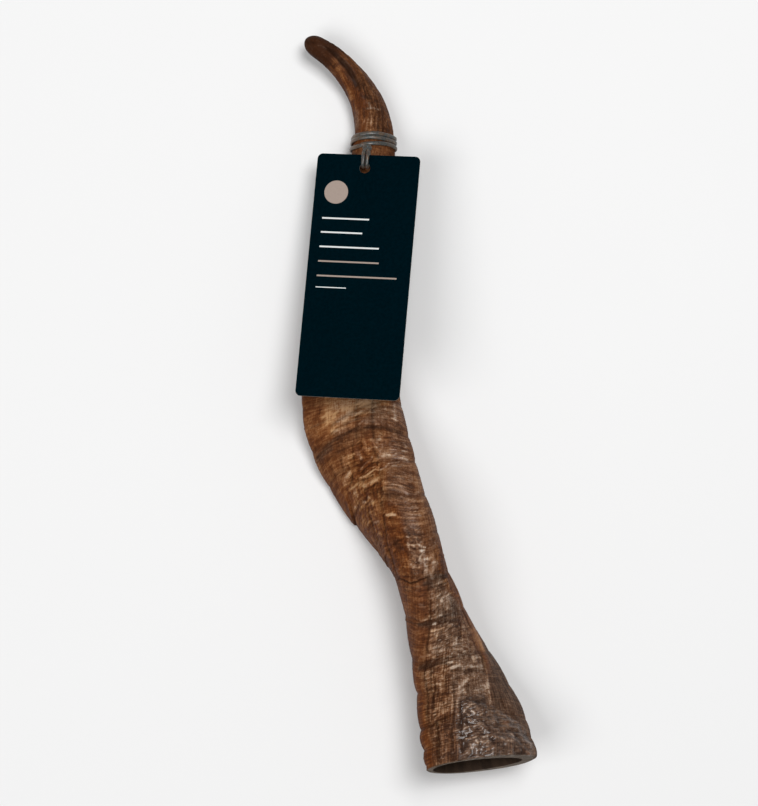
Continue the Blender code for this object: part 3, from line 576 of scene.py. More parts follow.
# The card tag
TAG_HOLE_DOWN = 6.1
TAG_HOLE_LEFT = 1.4
TAG_TURN = -3.0
TAG_SLOPE = 12.0
TAG_ROLL = 10.0
TAG_TOP_MIDDLE = (-20.5, 110.1, 22.5)
DISC_PLACE = (-13.2, 17.6)  # mm right of the tag's middle and below its top edge
RULES_LEFT = -18.4  # mm right of the tag's middle
RULES = (
    # distance below the top edge, length, half height, ink
    (29.6, 21.0, 0.35, "white"),
    (36.0, 18.5, 0.35, "white"),
    (42.6, 26.5, 0.35, "white"),
    (49.2, 27.0, 0.35, "beige"),
    (55.8, 35.5, 0.35, "beige"),
    (61.0, 13.5, 0.2, "white"),
)
INK_DEPTH = 0.00005  # m

# The elastic band
BAND_SEED = 31
TOP_ANGLE = 92.0
BAND_ROUTE = (
    # turns from the top by way of the right side, distance from the base, how far it is lifted off the horn
    (-0.08, 284.2, 0.5),
    (0.0, 285.0, 0.2),
    (0.1, 285.6, 0.0),
    (0.25, 284.8, 0.0),
    (0.5, 285.6, 0.0),
    (0.75, 286.4, 0.0),
    (1.0, 287.6, 0.0),
    (1.25, 287.2, 0.0),
    (1.5, 287.6, 0.0),
    (1.75, 288.2, 0.0),
    (2.0, 289.4, 0.0),
    (2.25, 289.0, 0.0),
    (2.45, 289.5, 0.0),
    (2.62, 289.7, 0.0),
)
BAND_RETURN = (
    (0.98, 284.8, 0.2),
    (0.88, 283.6, 0.1),
    (0.75, 283.5, 0.0),
    (0.6, 284.4, 0.0),
    (0.48, 285.2, 0.0),
)
BAND_STEPS_PER_TURN = 72
BAND_FLATNESS = 0.55  # how thick a wound strand is for its width
BAND_ON_RINGS = 0.58  # mm, the horn's own ring swell, which the strands follow
STAINED_AT_LEFT = (-0.0285, -0.0235)  # m, where the left end of the windings lets the horn show through
KNOT_ALONG = 282.9
KNOT_SIDE = 81.0
KNOT_LIFT = 0.7
KNOT_SIZE = (2.1, 1.9, 1.5)
LEG_APART = 1.86
LEG_ENDS_APART = 1.7
LEG_ROUTE = (
    # mm below the tag's top edge, and mm in front of its back
    (-0.6, 1.5),
    (1.0, 1.95),
    (3.0, 1.9),
    (4.8, 1.4),
    (5.4, 0.3),
    (4.9, -0.95),
    (3.0, -1.3),
    (1.0, -1.25),
    (-1.0, -1.0),
)

# The stops of the horn's runs of colour, plain, warm, and weathered grey whose palest stop is painted sheen,
# and the settings that colour them
RAMPS = (
    ((0.05, "chestnut"), (0.38, "brown"), (0.66, "tan"), (1.0, "pale")),
    ((0.05, "deep_orange"), (0.38, "orange"), (0.68, "light_orange"), (1.0, "glow")),
    ((0.05, "deep_grey"), (0.38, "grey"), (0.70, "light_grey"), (1.0, "gleam")),
)

# The stage, in metres
LIGHTS = (
    # name, place, side
    ("key", (0.38, 0.50, 2.08), 0.85),
    ("left", (-1.00, -0.45, 1.95), 1.2),
)
CAMERA_PLACE = (-0.01684, -0.00005)


def prop_length(name, description, default):
    """A setting in metres."""
    return bpy.props.FloatProperty(
        name=name, description=description, default=default, unit="LENGTH", subtype="DISTANCE", precision=5
    )


def prop_number(name, description, default, unit="NONE"):
    """A setting that is no length, such as the power of a light."""
    return bpy.props.FloatProperty(name=name, description=description, default=default, unit=unit)


def prop_colour(name, description, default):
    """A colour, as linear red, green and blue."""
    return bpy.props.FloatVectorProperty(
        name=name, description=description, default=default, subtype="COLOR", size=3, min=0.0, max=1.0
    )


class RAMHORN_PG_horn(bpy.types.PropertyGroup):
    """Sizes and colours of the horn."""

    swell: prop_length("Ring swell", "Height of the broad growth rings", 0.00058)
    fine_ring: prop_length("Fine rings", "Height of the fine growth lines", 0.00017)
    flake: prop_length("Flakes", "Height by which flakes stand over each other", 0.00022)
    weave: prop_length("Woven ridges", "Height of the fine ridges that run along the horn", 0.00028)
    bead: prop_length("Beads", "Height of the knobbly beads at the base", 0.00055)
    chestnut: prop_colour("Chestnut", "Darkest brown of the skin", (0.048, 0.0140, 0.0030))
    brown: prop_colour("Brown", "Middle brown of the skin", (0.132, 0.0440, 0.0115))
    tan: prop_colour("Tan", "Light brown of the skin", (0.262, 0.114, 0.042))
    pale: prop_colour("Pale chips", "Colour of the palest chips", (0.560, 0.340, 0.185))
    deep_orange: prop_colour("Deep orange", "Darkest colour of the warm places", (0.068, 0.0155, 0.0022))
    orange: prop_colour("Orange", "Middle colour of the warm places", (0.150, 0.0415, 0.0085))
    light_orange: prop_colour("Light orange", "Light colour of the warm places", (0.288, 0.116, 0.038))
    glow: prop_colour("Bright orange", "Palest colour of the warm places", (0.500, 0.270, 0.120))
    deep_grey: prop_colour("Deep grey", "Darkest colour of worn places", (0.045, 0.0270, 0.0180))
    grey: prop_colour("Weathered", "Middle colour of worn places", (0.138, 0.0820, 0.0525))
    # light grey, made paler still, is also the colour of the painted highlights on the crests and of the
    # glints
    light_grey: prop_colour("Light grey", "Light colour of worn places", (0.290, 0.200, 0.145))
    # the palest stop of the weathered grey is painted sheen
    gleam: prop_colour("Gleam", "Palest colour of worn places", (0.640, 0.560, 0.490))
    sawn: prop_colour("Sawn rim", "Colour of the sawn rim", (0.168, 0.126, 0.090))
    # the hollow's colour is kept dark, partly as painted shade deep inside it
    hollow: prop_colour("Hollow", "Colour inside the hollow", (0.036, 0.0215, 0.0135))


class RAMHORN_PG_tag(bpy.types.PropertyGroup):
    """Sizes and colours of the card tag."""

    width: prop_length("Width", "Width of the card", 0.046)
    length: prop_length("Length", "Length of the card", 0.110)
    thickness: prop_length("Thickness", "Thickness of the card", 0.0006)
    corner: prop_length("Corner", "Radius of its corners", 0.0024)
    hole: prop_length("Hole", "Diameter of its hole", 0.0048)
    disc: prop_length("Disc", "Radius of the plain printed disc", 0.0053)
    card: prop_colour("Card", "Colour of its faces", (0.0002, 0.0064, 0.0100))
    edge: prop_colour("Card edge", "Colour of its cut edge", (0.20, 0.19, 0.17))
    beige: prop_colour("Beige ink", "Colour of the disc and two rules", (0.350, 0.272, 0.228))
    white: prop_colour("White ink", "Colour of the pale rules", (0.72, 0.73, 0.72))


class RAMHORN_PG_band(bpy.types.PropertyGroup):
    """Sizes and colours of the elastic band."""

    radius: prop_length("Strand radius", "Half the thickness of a strand", 0.0009)
    gap: prop_length("Gap", "How far the strands lie clear of the plain skin", 0.00012)
    leg_radius: prop_length("Stretched radius", "Half the thickness of the stretched strands", 0.0008)
    rubber: prop_colour("Rubber", "Grey of the strands", (0.042, 0.045, 0.043))
    stained: prop_colour("Stained rubber", "Brown of thin places over the horn", (0.125, 0.070, 0.038))


class RAMHORN_PG_stage(bpy.types.PropertyGroup):
    """The floor, the light and the camera."""

    floor_size: prop_length("Floor", "Side of the floor", 3.0)
    floor: prop_colour("Floor colour", "Colour of the floor", (0.83, 0.83, 0.83))
    key: prop_number("Key", "Power of the key light", 31.5, "POWER")
    left: prop_number("Left", "Power of the light at the left", 18.5, "POWER")
    room: prop_number("Room", "Strength of the even light all round", 0.19)
    camera_height: prop_length("Camera height", "Height of the camera over the floor", 1.2254)
    lens: prop_number("Lens", "Focal length", 121.8, "CAMERA")


def through(knots, values, at):
    """A smooth curve through the values, read at the distances in at: cubic pieces with matching slopes."""
    knots = np.asarray(knots, float)
    values = np.asarray(values, float).reshape(len(knots), -1)
    gaps = np.diff(knots)[:, None]
    chords = np.diff(values, axis=0) / gaps
    slopes = np.empty_like(values)
    slopes[1:-1] = (chords[:-1] * gaps[1:] + chords[1:] * gaps[:-1]) / (gaps[1:] + gaps[:-1])
    slopes[0] = 1.5 * chords[0] - 0.5 * slopes[1]
    slopes[-1] = 1.5 * chords[-1] - 0.5 * slopes[-2]
    at = np.asarray(at, float).ravel()
    piece = np.clip(np.searchsorted(knots, at, side="right") - 1, 0, len(knots) - 2)
    span = gaps[piece]
    u = (at - knots[piece])[:, None] / span
    return (
        (2 * u**3 - 3 * u**2 + 1) * values[piece]
        + (u**3 - 2 * u**2 + u) * span * slopes[piece]
        + (3 * u**2 - 2 * u**3) * values[piece + 1]
        + (u**3 - u**2) * span * slopes[piece + 1]
    )


def ease(u):
    """0 below 0, 1 above 1, and smooth between."""
    u = np.clip(u, 0.0, 1.0)
    return u * u * (3 - 2 * u)


def bell(away, half):
    """1 in the middle, about a third at half, and 0 further out."""
    return np.exp(-((away / half) ** 2))


def apart(side, middle):
    """Signed difference between two angles round the section, in degrees."""
    return (side - middle + 180.0) % 360.0 - 180.0


def fade(value, low, high, soft):
    """1 between low and high and 0 outside, with a soft step at both ends."""
    return ease((value - low) / soft + 0.5) * ease((high - value) / soft + 0.5)


def in_scene(points):
    """The tables' mm as places in the scene, in metres."""
    return (points - ORIGIN) * MM


class Form:
    """The horn's plain outer form in mm, read by distance from the sawn base and angle round the section."""

    def __init__(self):
        rows = np.array(STATIONS)
        self.values = np.column_stack((rows[:, 1], rows[:, 0], rows[:, 2:5], np.radians(rows[:, 5])))
        steps = np.linalg.norm(np.diff(self.values[:, :3], axis=0), axis=1)
        self.knots = np.concatenate(([0.0], np.cumsum(steps))) - steps[0]
        self.start = float(self.knots[0])
        self.length = float(self.knots[-1])

    def half_width(self, row):
        """Half the width of the section."""
        return np.interp(row, self.knots, self.values[:, 3])

    def section(self, along):
        """The centre, the direction to the blunt edge, the direction across it, and the two half sizes."""
        along = np.asarray(along, float)
        read = through(self.knots, self.values, along)
        ahead = through(self.knots, self.values, np.minimum(along + LOOK_AHEAD, self.length))[:, :3]
        behind = through(self.knots, self.values, np.maximum(along - LOOK_AHEAD, self.start))[:, :3]
        forward = ahead - behind
        forward /= np.linalg.norm(forward, axis=1)[:, None]
        right = np.cross(forward, (0.0, 0.0, 1.0))
        right /= np.linalg.norm(right, axis=1)[:, None]
        up = np.cross(right, forward)
        twist = read[:, 5:6]
        blunt = np.cos(twist) * right + np.sin(twist) * up
        across = np.sin(twist) * right - np.cos(twist) * up
        return read[:, :3], blunt, across, read[:, 3], read[:, 4]

    def lag(self, row, side):
        """How much nearer the base a growth line lies, at this side, than its distance says."""
        grown = ease(row / LAG_GROWS) * ease((self.length - row) / LAG_FADES)
        dip = BLUNT_LAG * bell(apart(side, 0.0), BLUNT_SPREAD)
        return grown * self.half_width(row) * (KEEL_LAG * ((1 - np.cos(np.radians(side))) / 2) ** 2 + dip)

    def swell(self, row, side):
        """Height of the broad rings, as a share, and of the long corners and the lip, in mm."""
        edges = np.array(RING_EDGES, float)
        ring = np.clip(np.searchsorted(edges, row, side="right") - 1, 0, len(edges) - 2)
        u = np.clip((row - edges[ring]) / (edges[ring + 1] - edges[ring]), 0.0, 1.0)
        rings = np.interp(row, *RING_SHARES)
        rings = rings * (np.maximum(np.sin(math.pi * u), 0) ** RING_FULLNESS - 0.5)
        corner = 0.0
        for middle, height, half in CORNERS:
            corner = corner + height * bell(apart(side, middle), half)
        lip = LIP_HEIGHT * (1 - ease(row / LIP_LENGTH)) * np.maximum(0.0, -np.cos(np.radians(side))) ** 2
        return rings, lip + corner * ease((self.length - row) / CORNERS_FADE)

    def outline(self, along, side, proud):
        """Points on the surface, for arrays of distance and side of one shape, moved out by proud."""
        shape = np.shape(along)
        flat = np.ravel(along)
        centre, blunt, across, wide, thick = self.section(flat)
        angle = np.radians(np.ravel(side))
        run_out = np.clip((flat - (self.length - TIP_ROUNDING)) / TIP_ROUNDING, 0.0, 1.0)
        closing = np.sqrt(1 - run_out**2)
        out = np.ravel(proud)
        sharp = KEEL_SHARPNESS * ease(flat / SHARPNESS_GROWS)
        drawn = (1 + sharp * np.cos(angle)) / (1 + SHARP_IS_THIN * sharp)
        p = (wide + out) * np.cos(angle) * closing
        q = (thick * drawn + out) * np.sin(angle) * closing
        points = centre + p[:, None] * blunt + q[:, None] * across
        return points.reshape(*shape, 3)

    def skin(self, row, side, proud):
        """Points of the outer surface on growth lines."""
        along = np.clip(row - self.lag(row, side), self.start, self.length)
        return self.outline(along, side, proud)


def grain(row, turn, name, more_seed=0):
    """A layer of smooth random values, by its name in GRAINS, and by what is added to its seed."""
    strength, long, count, seed = GRAINS[name]
    place = row / long + 3.0
    low = np.floor(place).astype(int)
    lattice = np.random.default_rng(seed + more_seed).uniform(-1.0, 1.0, (low.max() + 2, count))
    up = ease(place - low)
    side = (turn % 1.0) * count
    left = np.floor(side).astype(int) % count
    over = ease(side - np.floor(side))
    right = (left + 1) % count
    near = lattice[low, left] * (1 - over) + lattice[low, right] * over
    far = lattice[low + 1, left] * (1 - over) + lattice[low + 1, right] * over
    return strength * (near * (1 - up) + far * up)


def lines_run_on(row, side):
    """How far towards the tip the fine growth lines run on at each place."""
    table = np.array(LINES_RUN_ON, float)
    at = np.clip(np.ravel(row), table[0, 0], table[-1, 0] - 0.001)
    piece = np.searchsorted(table[:, 0], at, side="right") - 1
    share = (at - table[piece, 0]) / (table[piece + 1, 0] - table[piece, 0])
    runs = through(LINES_SIDES, table[:, 1:].T, apart(np.ravel(side), 0.0))
    every = np.arange(len(at))
    return ((1 - share) * runs[every, piece] + share * runs[every, piece + 1]).reshape(np.shape(row))


def fine_lines(row, seed, least, most):
    """The fine growth line that each row lies in, and how far through it."""
    rng = np.random.default_rng(seed)
    edges = [-8.0]
    while edges[-1] < row.max() + 6:
        edges.append(edges[-1] + rng.uniform(least, most))
    edges = np.array(edges)
    line = np.clip(np.searchsorted(edges, row, side="right") - 1, 0, len(edges) - 2)
    return line, (row - edges[line]) / (edges[line + 1] - edges[line])


def flakes(line, turn, count, seed):
    """A random tone for each flake of a growth line, and how near its cracked sides are, from 0 to 1."""
    rng = np.random.default_rng(seed)
    lines = line.max() + 1
    tones = rng.uniform(-1.0, 1.0, (lines, count))
    cuts = rng.uniform(0.1, 0.9, (lines, count))
    side = (turn % 1.0) * count + rng.uniform(0.0, 1.0, lines)[line] * count
    low = np.floor(side).astype(int)
    share = side - low
    low = low % count
    cut = cuts[line, low]
    flake = np.where(share < cut, (low - 1) % count, low)
    before = cuts[line, (low - 1) % count] - 1
    after = cuts[line, (low + 1) % count] + 1
    nearest = np.minimum(abs(share - cut), np.minimum(share - before, after - share))
    return tones[line, flake], np.clip(1 - nearest / CRACK_WIDTH, 0.0, 1.0)


def skin_areas(row, side):
    """The shares of each kind of surface, blended from the areas."""
    shares = [np.full(row.shape, value) for value in PLAIN_SKIN]
    for spine, values in AREAS:
        spine = np.array(spine, float)
        low = np.interp(row, spine[:, 0], spine[:, 1])
        high = np.interp(row, spine[:, 0], spine[:, 2])
        inside = ease(((high - low) / 2 - abs(apart(side, (low + high) / 2))) / AREA_SOFT_SIDE + 0.5)
        inside = np.where(high - low >= 360.0, 1.0, inside)
        inside = inside * fade(row, spine[0, 0], spine[-1, 0], AREA_SOFT_ROW)
        shares = [share * (1 - inside) + value * inside for share, value in zip(shares, values)]
    return shares


def along_line(places, side):
    """How far from the base a line across the skin lies at each side, and 1 where the line runs."""
    places = np.array(places, float)
    middle = (places[0, 0] + places[-1, 0]) / 2
    here = middle + apart(side, middle)
    return np.interp(here, places[:, 0], places[:, 1]), fade(here, places[0, 0], places[-1, 0], BAND_ENDS)


def scattered_chips():
    """Small pale chips, more than the ones with a place of their own."""
    rng = np.random.default_rng(SCATTERED_SEED)
    chips = []
    for count, rows, sides, paleness in SCATTERED:
        ranges = (rows, sides, SCATTERED_LENGTH, SCATTERED_WIDTH, paleness)
        chips += [tuple(rng.uniform(*limits) for limits in ranges) for _ in range(count)]
    return tuple(chips)


def in_picture(points):
    """Where points of the form lie in the photo, in its pixels."""
    scale = PIXELS_PER_MM_AT_1_MM / (SEEN_FROM[2] - points[..., 2])
    right = PICTURE_MIDDLE[0] + (points[..., 0] - SEEN_FROM[0]) * scale
    down = PICTURE_MIDDLE[1] - (points[..., 1] - SEEN_FROM[1]) * scale
    return np.stack((right, down), axis=-1)


def faces_up(points):
    """How far the skin faces up at each of its points, from -1 to 1."""
    normal = np.cross(np.gradient(points, axis=1), np.gradient(points, axis=0))
    normal /= np.linalg.norm(normal, axis=-1)[..., None] + 1e-9
    outward = np.sum(normal * (points - points.mean(axis=1)[:, None]), axis=-1)
    return normal[..., 2] * np.sign(outward)


def near_line(seen, places):
    """How far each seen point lies from a line through the places, in pixels."""
    nearest = np.full(len(seen), np.inf)
    for start, end in zip(places[:-1], places[1:]):
        way = end - start
        share = np.clip((seen - start) @ way / (way @ way), 0.0, 1.0)
        nearest = np.minimum(nearest, np.linalg.norm(seen - start - share[:, None] * way, axis=1))
    return nearest


class Skin:
    """The skin over the plain section: its height in mm, and how light, dark, grey and banded it is. Its
    darkness holds painted shade in grooves, cracks, creases and along the sides, and its lightness and
    greyness hold painted highlights and sheen, besides the horn's own colours.

    A place has a row, its distance from the base, a turn, its share of the way round, and a side, its angle.
    """

    def __init__(self, form, sizes, row, turn, side):
        self.row = row
        self.turn = turn
        self.side = side
        ring, self.flake, self.weave, self.bead, *colouring = skin_areas(row, side)
        self.orange, self.grey, light, self.gloss = colouring
        self.wander = grain(row, turn, "wander") + grain(row, turn, "small wander")
        self.patches = grain(row, turn, "patches")
        self.grown = row - lines_run_on(row, side)
        self.reach = form.half_width(row) * math.pi / 180
        self.grow(form, sizes, ring, light)
        self.add_bands()
        self.add_creases()
        self.add_ledges()
        self.add_chips()
        self.add_strokes(form)

    def grow(self, form, sizes, ring, light):
        """Rings, fine lines, flakes, woven ridges and beads."""
        row, turn, side = self.row, self.turn, self.side
        _, rest = form.swell(row, side)
        rings, _ = form.swell(self.grown, side)
        scallops = SCALLOPS * bell(apart(side, SCALLOPS_AT), SCALLOPS_SPREAD)
        rings = rings * (1 + scallops * (1 - ease((row - SCALLOPS_END) / SCALLOPS_FADE)))
        line, share = fine_lines(self.grown + self.wander, *FINE_LINES)
        broad_line, _ = fine_lines(self.grown + 1.5 * self.wander, *BROAD_LINES)
        crest = np.sqrt(np.clip(4 * share * (1 - share), 0.0, 1.0))
        strength = 0.65 + grain(row, turn, "line strength")
        stripe = grain(line, turn, "stripes")
        tone, crack = flakes(line, turn + grain(row, turn, "crack wander"), *FLAKES)
        broad_turn = turn + grain(row, turn, "broad crack wander")
        broad_tone, broad_crack = flakes(broad_line, broad_turn, *BROAD_FLAKES)
        cords = grain(row + 2 * self.wander, turn, "cords")
        fibres = grain(row, turn, "fibres")
        knobs = grain(row, turn + 0.003 * self.wander, "knobs") + grain(row, turn, "broad knobs")
        knobs = np.clip(knobs, -1.0, 1.0)

        lumps = grain(row, turn, "lumps") * ease((LUMPS_END - row) / LUMPS_FADE)
        height = sizes.swell / MM * rings + rest + lumps
        height = height + sizes.fine_ring / MM * ring * strength * (1.6 * crest - 1.2 + 0.5 * stripe)
        layered = 0.55 * tone + 0.45 * broad_tone - 0.5 * crack - 0.3 * broad_crack
        height = height + sizes.flake / MM * self.flake * layered
        height = height + sizes.weave / MM * self.weave * (0.8 * cords + 0.25 * fibres)
        self.height = height + sizes.bead / MM * self.bead * knobs
        self.crest = ring * crest

        lightness = light + self.flake * (0.5 * tone + 0.45 * broad_tone) + (0.12 + 0.22 * ring) * stripe
        self.lightness = lightness + 0.2 * self.patches + 0.25 * cords * self.weave
        # Painted shade in the grooves between fine lines, in the cracks between flakes, between the beads
        # and between the woven cords.
        dark = (0.15 + 0.6 * ring) * np.clip(1 - 9 * share * (1 - share), 0.0, 1.0)
        dark = dark + 0.5 * self.flake * np.maximum(crack, broad_crack)
        dark = dark + self.bead * np.clip(-knobs, 0.0, 1.0)
        self.dark = dark + 0.5 * self.weave * np.clip(-cords - 0.25, 0.0, 1.0)

    def add_bands(self):
        """Dark bands across the skin, and faint ones at the edges of the broad rings."""
        self.banding = np.zeros_like(self.row)
        for half, strength, places in BANDS:
            at, runs = along_line(places, self.side)
            wavering = self.row + 0.5 * self.wander - at
            self.banding = np.maximum(self.banding, strength * runs * bell(wavering, half))
        edges = np.array(RING_EDGES[1:-2], float)
        from_edge = np.min(abs((self.grown + 0.6 * self.wander)[..., None] - edges), axis=-1)
        self.banding = np.maximum(self.banding, (0.35 + 0.2 * self.patches) * bell(from_edge, 0.9))
        self.height = self.height - BAND_DEPTH * self.banding

    def add_creases(self):
        """Long creases with painted shade in them, and long pale ridges where the depth is below 0."""
        straight = np.zeros_like(self.row)
        for depth, half, darkness, places in CREASES:
            places = np.array(places, float)
            middle = np.interp(self.row, places[:, 0], places[:, 1])
            middle = middle + grain(self.row, straight, "creases", int(places[0, 0]))
            there = fade(self.row, places[0, 0], places[-1, 0], CREASE_ENDS)
            there = there * bell(apart(self.side, middle) * self.reach, half)
            self.height = self.height - depth * there
            self.dark = self.dark + max(darkness, 0.0) * there
            self.lightness = self.lightness - 0.6 * min(darkness, 0.0) * there

    def add_ledges(self):
        """A step up, a slope down behind it, a groove in front of it and a painted shadow line at its foot.
        """
        for tall, run, darkness, places in LEDGES:
            at, runs = along_line(places, self.side)
            over = self.row - at - 0.25 * self.wander
            slope = np.exp(-np.maximum(over, 0) / run)
            groove = -0.35 * np.exp(over / 1.2)
            self.height = self.height + tall * runs * np.where(over > 0, slope, groove)
            self.dark = self.dark + darkness * runs * bell(over + 0.15, 0.42)

    def add_chips(self):
        """Pale chips, each with a painted shadow line at its lower end."""
        for at, middle, long, wide, paleness in CHIPS + scattered_chips():
            across = fade(apart(self.side, middle) * self.reach, -wide / 2, wide / 2, 0.5)
            inside = fade(self.row + 0.25 * self.wander, at - long / 2, at + long / 2, 0.35) * across
            below = bell(self.row - at + long / 2 + 0.35, 0.4) * across
            self.height = self.height + CHIP_HEIGHT * inside - 0.12 * below
            self.lightness = self.lightness + 1.1 * paleness * inside
            self.dark = self.dark * (1 - 0.9 * inside) + 0.7 * min(paleness, 1.0) * below

    def add_strokes(self, form):
        """Single marks where the photo shows them, some of them painted highlights and shade, and painted
        shade along the sides where the skin turns away from it.
        """
        plain = form.skin(self.row, self.side, 0.0)
        seen = in_picture(plain)
        facing = faces_up(plain)
        for light, darkness, greyness, tall, half, places in STROKES:
            places = np.array(places, float)
            low, high = places.min(axis=0) - 3 * half, places.max(axis=0) + 3 * half
            here = np.all((seen > low) & (seen < high), axis=-1) & (facing > 0)
            there = bell(near_line(seen[here], places), half) * ease(facing[here] / 0.2)
            self.height[here] += tall * there
            self.lightness[here] += light * there
            self.grey[here] += (greyness - self.grey[here]) * np.minimum(1.2 * there, 1.0)
            cleared = 0.9 if light > 0.5 else 0.0
            self.dark[here] = self.dark[here] * (1 - cleared * there) + darkness * there
            self.banding[here] *= 1 - cleared * there
        # Painted shade along the sides, where the skin turns from facing up.
        painted_limb_shade = 1 - ease(abs(facing) / 0.3)
        self.dark = self.dark + (0.35 + 0.15 * self.patches) * painted_limb_shade

    def marks(self):
        """What the finish reads of each place, three values to a name."""
        return {
            "tone": (self.lightness, self.orange, self.grey),
            "mark": (np.clip(self.dark, 0.0, 1.0), np.clip(self.banding, 0.0, 1.0), self.gloss),
            "place": (self.crest, self.weave, self.bead),
        }


def turns_round(form, rows):
    """Where the columns of the mesh lie in each row: as shares of the way round, and as sides in degrees."""
    fine = np.radians(np.linspace(0.0, 360.0, 3601))  # by tenths of a degree
    wide, thick = MEAN_SECTION
    path = np.hypot(np.diff(wide * np.cos(fine)), np.diff(thick * np.sin(fine)))
    path = np.concatenate(([0.0], np.cumsum(path)))
    path /= path[-1]
    up = np.degrees(through(form.knots, form.values[:, 5], rows)) - 90.0
    top = np.interp(up[:, 0] % 360.0, np.degrees(fine), path)
    share = np.linspace(-0.5, 0.5, COLUMNS + 1)
    share = share - GATHERED * np.sin(2 * math.pi * share) / (2 * math.pi)
    turn = top[:, None] + share
    whole = np.floor(turn)
    return turn, np.degrees(np.interp(turn - whole, path, fine))


def rows_along(start, length):
    """Where the rows of the mesh lie on the outer skin."""
    spacing = np.array(ROW_SPACING)
    rows = [start]
    while rows[-1] < length - TIP_ROUNDING:
        rows.append(rows[-1] + float(np.interp(rows[-1], spacing[:, 0], spacing[:, 1])))
    closing = np.linspace(0.0, 90.0, TIP_ROWS + 1)[1:]
    rows[-1] = length - TIP_ROUNDING
    return np.array(rows + [length - TIP_ROUNDING * (1 - math.sin(math.radians(turn))) for turn in closing])


def hollow_points(form, side, turn):
    """Rings of the hollow, from the sawn rim to its blind end, each in the plane of its own section."""
    way = np.linspace(0.0, 1.0, CAVITY_ROWS) ** CAVITY_GATHERED
    along = form.start + (CAVITY_DEPTH - form.start) * way
    centre, blunt, across, wide, thick = form.section(along)
    share = 1 - CAVITY_TAPER * along / CAVITY_DEPTH
    end = np.clip((along - (CAVITY_DEPTH - CAVITY_ROUNDING)) / CAVITY_ROUNDING, 0.0, 1.0)
    share = share * np.sqrt(1 - end**2)
    half_wide = (wide - (RIM_AT_KEEL + RIM_AT_BLUNT_EDGE) / 2) * share
    half_thick = (thick - (RIM_AT_UPPER_FACE + RIM_AT_LOWER_FACE) / 2) * share
    to_blunt = (RIM_AT_KEEL - RIM_AT_BLUNT_EDGE) / 2
    to_lower = (RIM_AT_LOWER_FACE - RIM_AT_UPPER_FACE) / 2
    angle = np.radians(side)
    row, around = np.meshgrid(along, turn, indexing="ij")
    ribs = grain(row, around, "hollow ribs") * ease(row / 4) * (1 - end[:, None])
    p = to_blunt + (half_wide[:, None] + ribs) * np.cos(angle)
    q = to_lower + (half_thick[:, None] + ribs) * np.sin(angle) * (1 + 0.15 * np.cos(angle))
    return centre[:, None] + p[..., None] * blunt[:, None] + q[..., None] * across[:, None], row


def horn_points(form, skin):
    """Points from the hollow's end over the sawn rim to the tip, and the growth line that each is on."""
    closing = ease((form.length - skin.row) / (2.5 * TIP_ROUNDING))
    rounded = RIM_ROUNDING + KEEL_ROUNDING * np.maximum(0.0, -np.cos(np.radians(skin.side))) ** 6
    into = np.clip(1 - (skin.row - form.start) / rounded, 0.0, 1.0)
    outer = form.skin(skin.row, skin.side, skin.height * closing - rounded * (1 - np.sqrt(1 - into**2)))
    inner, inner_row = hollow_points(form, skin.side[0], skin.turn[0])
    edge = np.linspace(0.0, 1.0, RIM_ROWS + 2)[1:-1, None, None]
    rim = inner[:1] * (1 - edge) + outer[:1] * edge
    points = np.concatenate((inner[::-1], rim, outer))
    return points, np.concatenate((inner_row[::-1], np.zeros(rim.shape[:2]), skin.grown + skin.wander))


def horn_marks(skin, lines):
    """What the finish reads at each point of the hollow, the rim and the skin, three values to a name."""
    blank = np.zeros((CAVITY_ROWS + RIM_ROWS, COLUMNS + 1))
    rounding = 2 * math.pi * np.concatenate((np.broadcast_to(skin.turn[0], blank.shape), skin.turn))
    marks = {"growth": (SKIN_RADIUS * np.cos(rounding), SKIN_RADIUS * np.sin(rounding), lines)}
    for name, parts in skin.marks().items():
        marks[name] = [np.concatenate((blank, part)) for part in parts]
    place = np.arange(len(lines))[:, None] + np.zeros((1, COLUMNS + 1))
    is_rim = fade(place, CAVITY_ROWS - 0.5, CAVITY_ROWS + RIM_ROWS + 0.2, 1.0)
    is_hollow = (place < CAVITY_ROWS).astype(float)
    marks["cut"] = (is_rim, is_hollow, np.concatenate((blank, skin.flake)))
    return marks


def start_clean(context):
    """Deselects all and leaves edit mode, so an operator acts on what it makes."""
    if context.object and context.object.mode != "OBJECT":
        bpy.ops.object.mode_set(mode="OBJECT")
    bpy.ops.object.select_all(action="DESELECT")


def select_only(context, *pieces):
    """Selects these pieces and no others, with the first one active."""
    start_clean(context)
    for piece in pieces:
        piece.select_set(True)
    context.view_layer.objects.active = pieces[0]


def name_piece(context, name):
    """Names the object that was just made, and its mesh."""
    made = context.object
    made.name = name
    made.data.name = name
    return made


@contextmanager
def edit_all():
    """Edit mode with everything selected, and object mode after it."""
    bpy.ops.object.mode_set(mode="EDIT")
    bpy.ops.mesh.select_all(action="SELECT")
    yield
    bpy.ops.object.mode_set(mode="OBJECT")


def merge_and_turn_out(distance):
    """Merges what coincides and turns all faces outwards."""
    with edit_all():
        bpy.ops.mesh.remove_doubles(threshold=distance)
        bpy.ops.mesh.normals_make_consistent(inside=False)


def resize(x, y, z):
    """Scales what was just made, in its mesh, about its own middle."""
    with edit_all():
        bpy.ops.transform.resize(value=(x, y, z))


def finish_modifiers(context, piece):
    """Applies the modifiers of a piece in their order."""
    select_only(context, piece)
    for modifier in list(piece.modifiers):
        bpy.ops.object.modifier_apply(modifier=modifier.name)


def read_points(mesh):
    """The places of a mesh's points, in metres."""
    flat = np.empty(len(mesh.vertices) * 3, np.float32)
    mesh.vertices.foreach_get("co", flat)
    return flat.reshape(-1, 3)


def write_points(mesh, places):
    """Moves a mesh's points to these places, in metres."""
    mesh.vertices.foreach_set("co", places.astype(np.float32).ravel())


